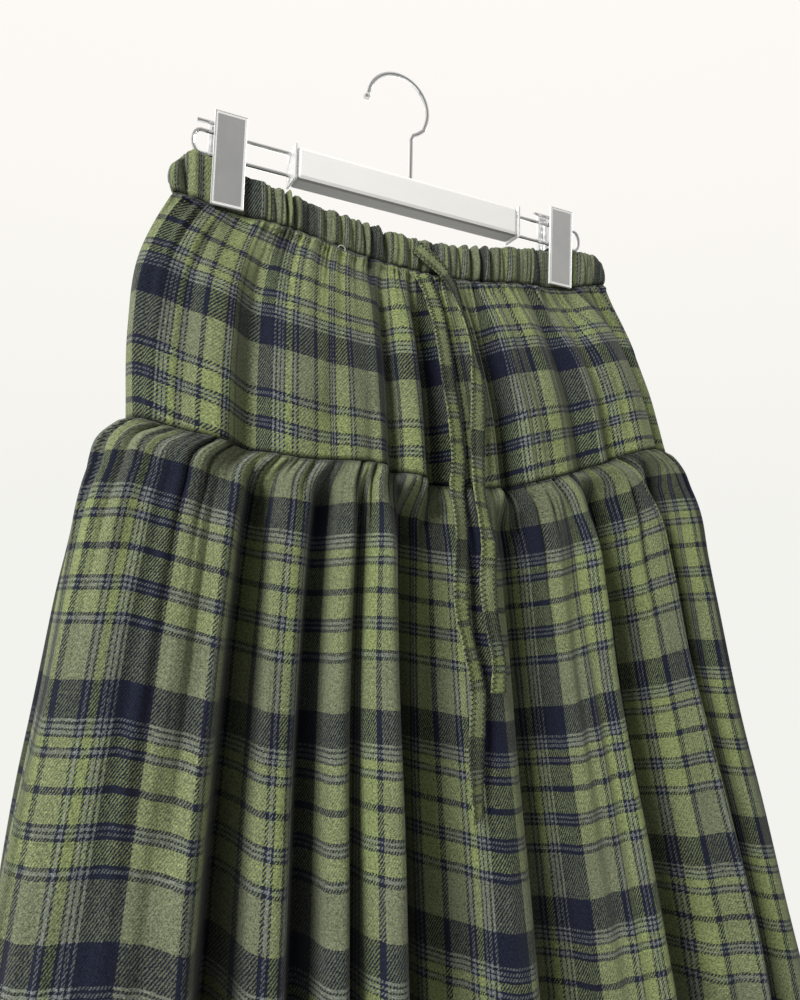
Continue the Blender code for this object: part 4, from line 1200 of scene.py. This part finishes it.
class SKIRT_OT_yoke(bpy.types.Operator):
    """Make the fitted yoke's front and back"""
    bl_idname = "skirt.yoke"
    bl_label = "Yoke"

    def execute(self, context):
        cloth = plaid("yoke flannel", context.scene.skirt_cloth, YOKE_SQUEEZE)
        height = YOKE_LEVELS[-1].drop
        for side in SIDES:
            grid, drops, across, sag, shade = laid_panel(YOKE, side, yoke_out, yoke_height)
            cloth_u = across * MM + getattr(YOKE_PLAID, side)
            cloth_v = (height - drops[:, None] + sag) * MM + YOKE_PLAID.down
            piece = cloth_piece("yoke_" + side, side, cloth,
                                (grid, cloth_u, cloth_v, shade), SHEET_THICK)
            flat = (float(run_along(grid[-1, :, :2])[-1]) * MM, height * MM)
        return {"FINISHED"}


class SKIRT_OT_tier(bpy.types.Operator):
    """Make the full lower tier's front and back"""
    bl_idname = "skirt.tier"
    bl_label = "Lower tier"

    def execute(self, context):
        cloth = plaid("tier flannel", context.scene.skirt_cloth)
        thread = thread_material("hem thread", HEM_THREAD)
        height = TIER_LEVELS[-1].drop
        for side in SIDES:
            grid, drops, across, sag, shade = laid_panel(TIER, side, tier_out, tier_height)
            cloth_u = -across * MM + getattr(TIER_PLAID, side)
            cloth_v = (drops[:, None] - sag) * MM + TIER_PLAID.down
            piece = cloth_piece("tier_" + side, side, cloth,
                                (grid, cloth_u, cloth_v, shade), SHEET_THICK)
            hem_row = grid[np.searchsorted(drops, height - HEM_DEPTH)]
            hem = stitch_row("tier_" + side + "_hem_stitches", hem_row, HEM_STITCH, thread)
            flat = (float(run_along(grid[-1, :, :2])[-1]) * MM, height * MM)
        return {"FINISHED"}


def band_grid(side, columns):
    """Grid of the casing's outer face, from its outer lower edge over the top to the inner one."""
    sign = -1.0 if side == "front" else 1.0
    count = WAIST_GATHERS[side]
    seed = CASING_SEEDS[side]
    q = np.linspace(0, 1, columns)
    places = column_places(q, side)
    wave = gather_wave(q, count, side)
    ups = [point.up for point in BAND_SECTION]
    outs = [point.out for point in BAND_SECTION]
    along = np.linspace(0, len(BAND_SECTION) - 1, 3 * (len(BAND_SECTION) - 1) + 1)
    rows = []
    for t in along:
        up = float(smooth_through(range(len(ups)), ups, t))
        share = float(smooth_through(range(len(outs)), outs, t))
        level = level_at(BAND_LEVELS, BAND_LEVELS[-1].drop * (1 - up))
        base, normals = outline(level, side, places)
        x = base[:, 0]
        clamp = clamp_share(x)
        free_in = BAND_THICK / 2 + BAND_LEAN_IN * up
        pressed_in = np.abs(base[:, 1]) - (CLAMPED_THICK / 2 + SEAM_GAP + up * CLAMP_SPREAD)
        inward = free_in + (pressed_in - free_in) * clamp
        thick = BAND_THICK + (CLAMPED_THICK - BAND_THICK) * clamp
        face = 1.0 if share > 0 else 0.55
        belly = 0.55 + 0.45 * math.sin(math.pi * min(1.0, max(0.0, up)))
        large = pucker(q + CASING_RUFFLE_LEAN * (up - 0.5), count * CASING_RUFFLES.count, seed + 5)
        fine = pucker(q, count * CASING_RUFFLES.fine_count, seed + 9)
        ruffle = 0.4 * wave + CASING_RUFFLES.out * large + CASING_RUFFLES.fine_out * fine
        ridge = CASING_RIDGE_OUT * (ruffle - 0.1) * (1 - clamp) * face * belly
        crinkle_row = up * 2.2 + (7 if share < 0 else 0)
        crinkle = 0.35 * soft_noise(q * 110, np.full_like(q, crinkle_row), seed)
        crinkle = crinkle * (1 - clamp) * free_of_sides(q)
        low = line_height(WAIST_SEAM, x)
        high = line_height(WAIST_TOP, x)
        scallop = 0.9 * ruffle * (1 - clamp) * smooth_step((up - 0.6) / 0.4)
        moved = base + normals * (thick * share + ridge + crinkle - inward)[:, None]
        own_side = np.maximum(np.abs(moved[:, 1]) * (moved[:, 1] * sign > 0), SEAM_GAP / 2)
        rows.append(np.column_stack([moved[:, 0], sign * own_side,
                                     low + (high - low) * up + scallop]))
    return np.array(rows)


class SKIRT_OT_casing(bpy.types.Operator):
    """Make the gathered casing round the waist"""
    bl_idname = "skirt.casing"
    bl_label = "Casing"

    @staticmethod
    def loose_thread(grid):
        """A pale loop of sewing thread left at the casing's lower edge."""
        root = grid[0, np.argmin(np.abs(grid[0, :, 0] + LOOSE_THREAD_LEFT))]
        loop = [root + (2.6 * math.cos(a) - 2.2, -3.4 - 0.5 * math.sin(a), 2.4 * math.sin(a) - 1.6)
                for a in np.linspace(-0.4, 1.45 * math.pi, 22)]
        pale = thread_material("pale thread", PALE_THREAD)
        thread_tube("loose_thread", [loop], PALE_THREAD_RADIUS, pale)

    def execute(self, context):
        cloth = plaid("casing flannel", context.scene.skirt_cloth, CASING_SQUEEZE)
        for side in SIDES:
            grid = band_grid(side, WAIST_GATHERS[side] * CASING_COLUMNS + 1)
            run = run_along(grid[:, grid.shape[1] // 2])
            width = run_along(grid[CASING_MIDDLE_ROW, :, :2]) * CASING_SQUEEZE
            cloth_u = width[None, :] * MM + getattr(CASING_PLAID, side)
            cloth_v = (run[::-1] * MM + CASING_PLAID.down)[:, None]
            shade = fold_shade(grid, side, (0,))[::-1]
            piece = cloth_piece("waistband_" + side, side, cloth,
                                (grid[::-1], cloth_u, cloth_v, shade), GATHERED_THICK)
            if side == "front":
                self.loose_thread(grid)
        return {"FINISHED"}


class SKIRT_OT_hanger(bpy.types.Operator):
    """Finish the bar, hook, rods and clips"""
    bl_idname = "skirt.hanger"
    bl_label = "Hanger"

    def execute(self, context):
        colours = context.scene.skirt_hanger
        white = white_plastic("white plastic", tuple(colours.plastic))
        wire = chrome("polished wire", tuple(colours.metal))
        clear = clear_plastic("clear plastic")
        finishes = {"hanger_bar": white, "bar_cap_left": clear, "bar_cap_right": clear,
                    "hanger_hook": wire, "rod_left": wire, "rod_right": wire}
        for side, clip_x in CLIP_X.items():
            plate = plate_metal("clip plate " + side, clip_x, PLATE_PAINTED_LIGHT[side])
            finishes["clip_" + side + "_front"] = plate
            finishes["clip_" + side + "_back"] = plate
            finishes["clip_" + side + "_slider"] = wire
            finishes["clip_" + side + "_pin"] = wire
        for name, material in finishes.items():
            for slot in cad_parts[name].material_slots:
                slot.material = material
        return {"FINISHED"}


class SKIRT_OT_stage(bpy.types.Operator):
    """Make the pale floor and the soft light"""
    bl_idname = "skirt.stage"
    bl_label = "Stage"

    def execute(self, context):
        settings = context.scene.skirt_stage
        context.scene.view_settings.view_transform = "Standard"
        angles = np.linspace(0, 2 * math.pi, FLOOR_CORNERS, endpoint=False)
        rim = [(FLOOR_RADIUS * math.cos(a), FLOOR_RADIUS * math.sin(a), settings.floor_height)
               for a in angles]
        mesh = bpy.data.meshes.new("floor")
        mesh.from_pydata(rim, [], [tuple(range(len(rim)))])
        floor = link("floor", mesh)
        mesh.materials.append(self.floor_material())
        context.scene.world = self.room_light(settings)
        for lamp in LAMPS:
            data = bpy.data.lights.new(lamp.name, "AREA")
            data.shape = "SQUARE"
            data.size = lamp.size
            data.energy = settings.key * lamp.power
            data.color = LAMP_COLOUR
            light = bpy.data.objects.new(lamp.name, data)
            light.location = lamp.place
            aim = Vector(lamp.target) - Vector(lamp.place)
            light.rotation_euler = aim.to_track_quat("-Z", "Y").to_euler()
            context.scene.collection.objects.link(light)
        return {"FINISHED"}

    @staticmethod
    def floor_material():
        """Pale matt floor with a faint unevenness."""
        shader = Shader(bpy.data.materials.new("pale floor"))
        cloud = shader.noise(shader.place(), 3.0)
        tint = shader.mix(cloud, (0.66, 0.66, 0.64, 1.0), (0.70, 0.70, 0.68, 1.0))
        return shader.finish({"Specular IOR Level": 0.2},
                             {"Base Color": tint, "Roughness": 0.85 + cloud * 0.1})

    @staticmethod
    def room_light(settings):
        """A pale room, brightest high up and behind the skirt, and dim below."""
        world = bpy.data.worlds.new("studio")
        shader = Shader(world)
        where = shader.node("ShaderNodeTexCoord").outputs["Generated"]
        up = shader.part(where, 2)
        wall = shader.mix(up.between(0.0, 0.65), (0.895, 0.892, 0.855, 1.0), (0.985, 0.955, 0.915, 1.0))
        wall = shader.mix(up.between(-0.85, -0.45), (0.36, 0.36, 0.355, 1.0), wall)
        front = (shader.part(where, 1) * -1.0).between(-0.05, 0.75)
        strength = (1.0 - front * (1.0 - settings.room)) * settings.backdrop
        background = shader.node("ShaderNodeBackground", None, {"Color": wall, "Strength": strength})
        shader.node("ShaderNodeOutputWorld", None, {"Surface": background.outputs[0]})
        return world


OPERATORS = [SKIRT_OT_camera, SKIRT_OT_ties, SKIRT_OT_casing, SKIRT_OT_yoke, SKIRT_OT_tier,
             SKIRT_OT_hanger, SKIRT_OT_stage]
SETTINGS = {"skirt_cloth": ClothSettings, "skirt_hanger": HangerSettings, "skirt_stage": StageSettings}


class SKIRT_PT_panel(bpy.types.Panel):
    """Lists the skirt's settings and pieces"""
    bl_idname = "SKIRT_PT_panel"
    bl_label = "Skirt on a hanger"
    bl_space_type = "VIEW_3D"
    bl_region_type = "UI"
    bl_category = "Skirt"

    def draw(self, context):
        layout = self.layout
        for name, group in SETTINGS.items():
            box = layout.box()
            for key in group.__annotations__:
                box.prop(getattr(context.scene, name), key)
        for operator in OPERATORS:
            layout.operator(operator.bl_idname)


def register():
    for group in SETTINGS.values():
        bpy.utils.register_class(group)
    for name, group in SETTINGS.items():
        setattr(bpy.types.Scene, name, bpy.props.PointerProperty(type=group))
    for operator in OPERATORS:
        bpy.utils.register_class(operator)
    bpy.utils.register_class(SKIRT_PT_panel)


def unregister():
    bpy.utils.unregister_class(SKIRT_PT_panel)
    for operator in reversed(OPERATORS):
        bpy.utils.unregister_class(operator)
    for name in SETTINGS:
        delattr(bpy.types.Scene, name)
    for group in SETTINGS.values():
        bpy.utils.unregister_class(group)


def main():
    register()
    for operator in OPERATORS:
        group, name = operator.bl_idname.split(".")
        getattr(getattr(bpy.ops, group), name)()


if __name__ == "__main__":
    main()
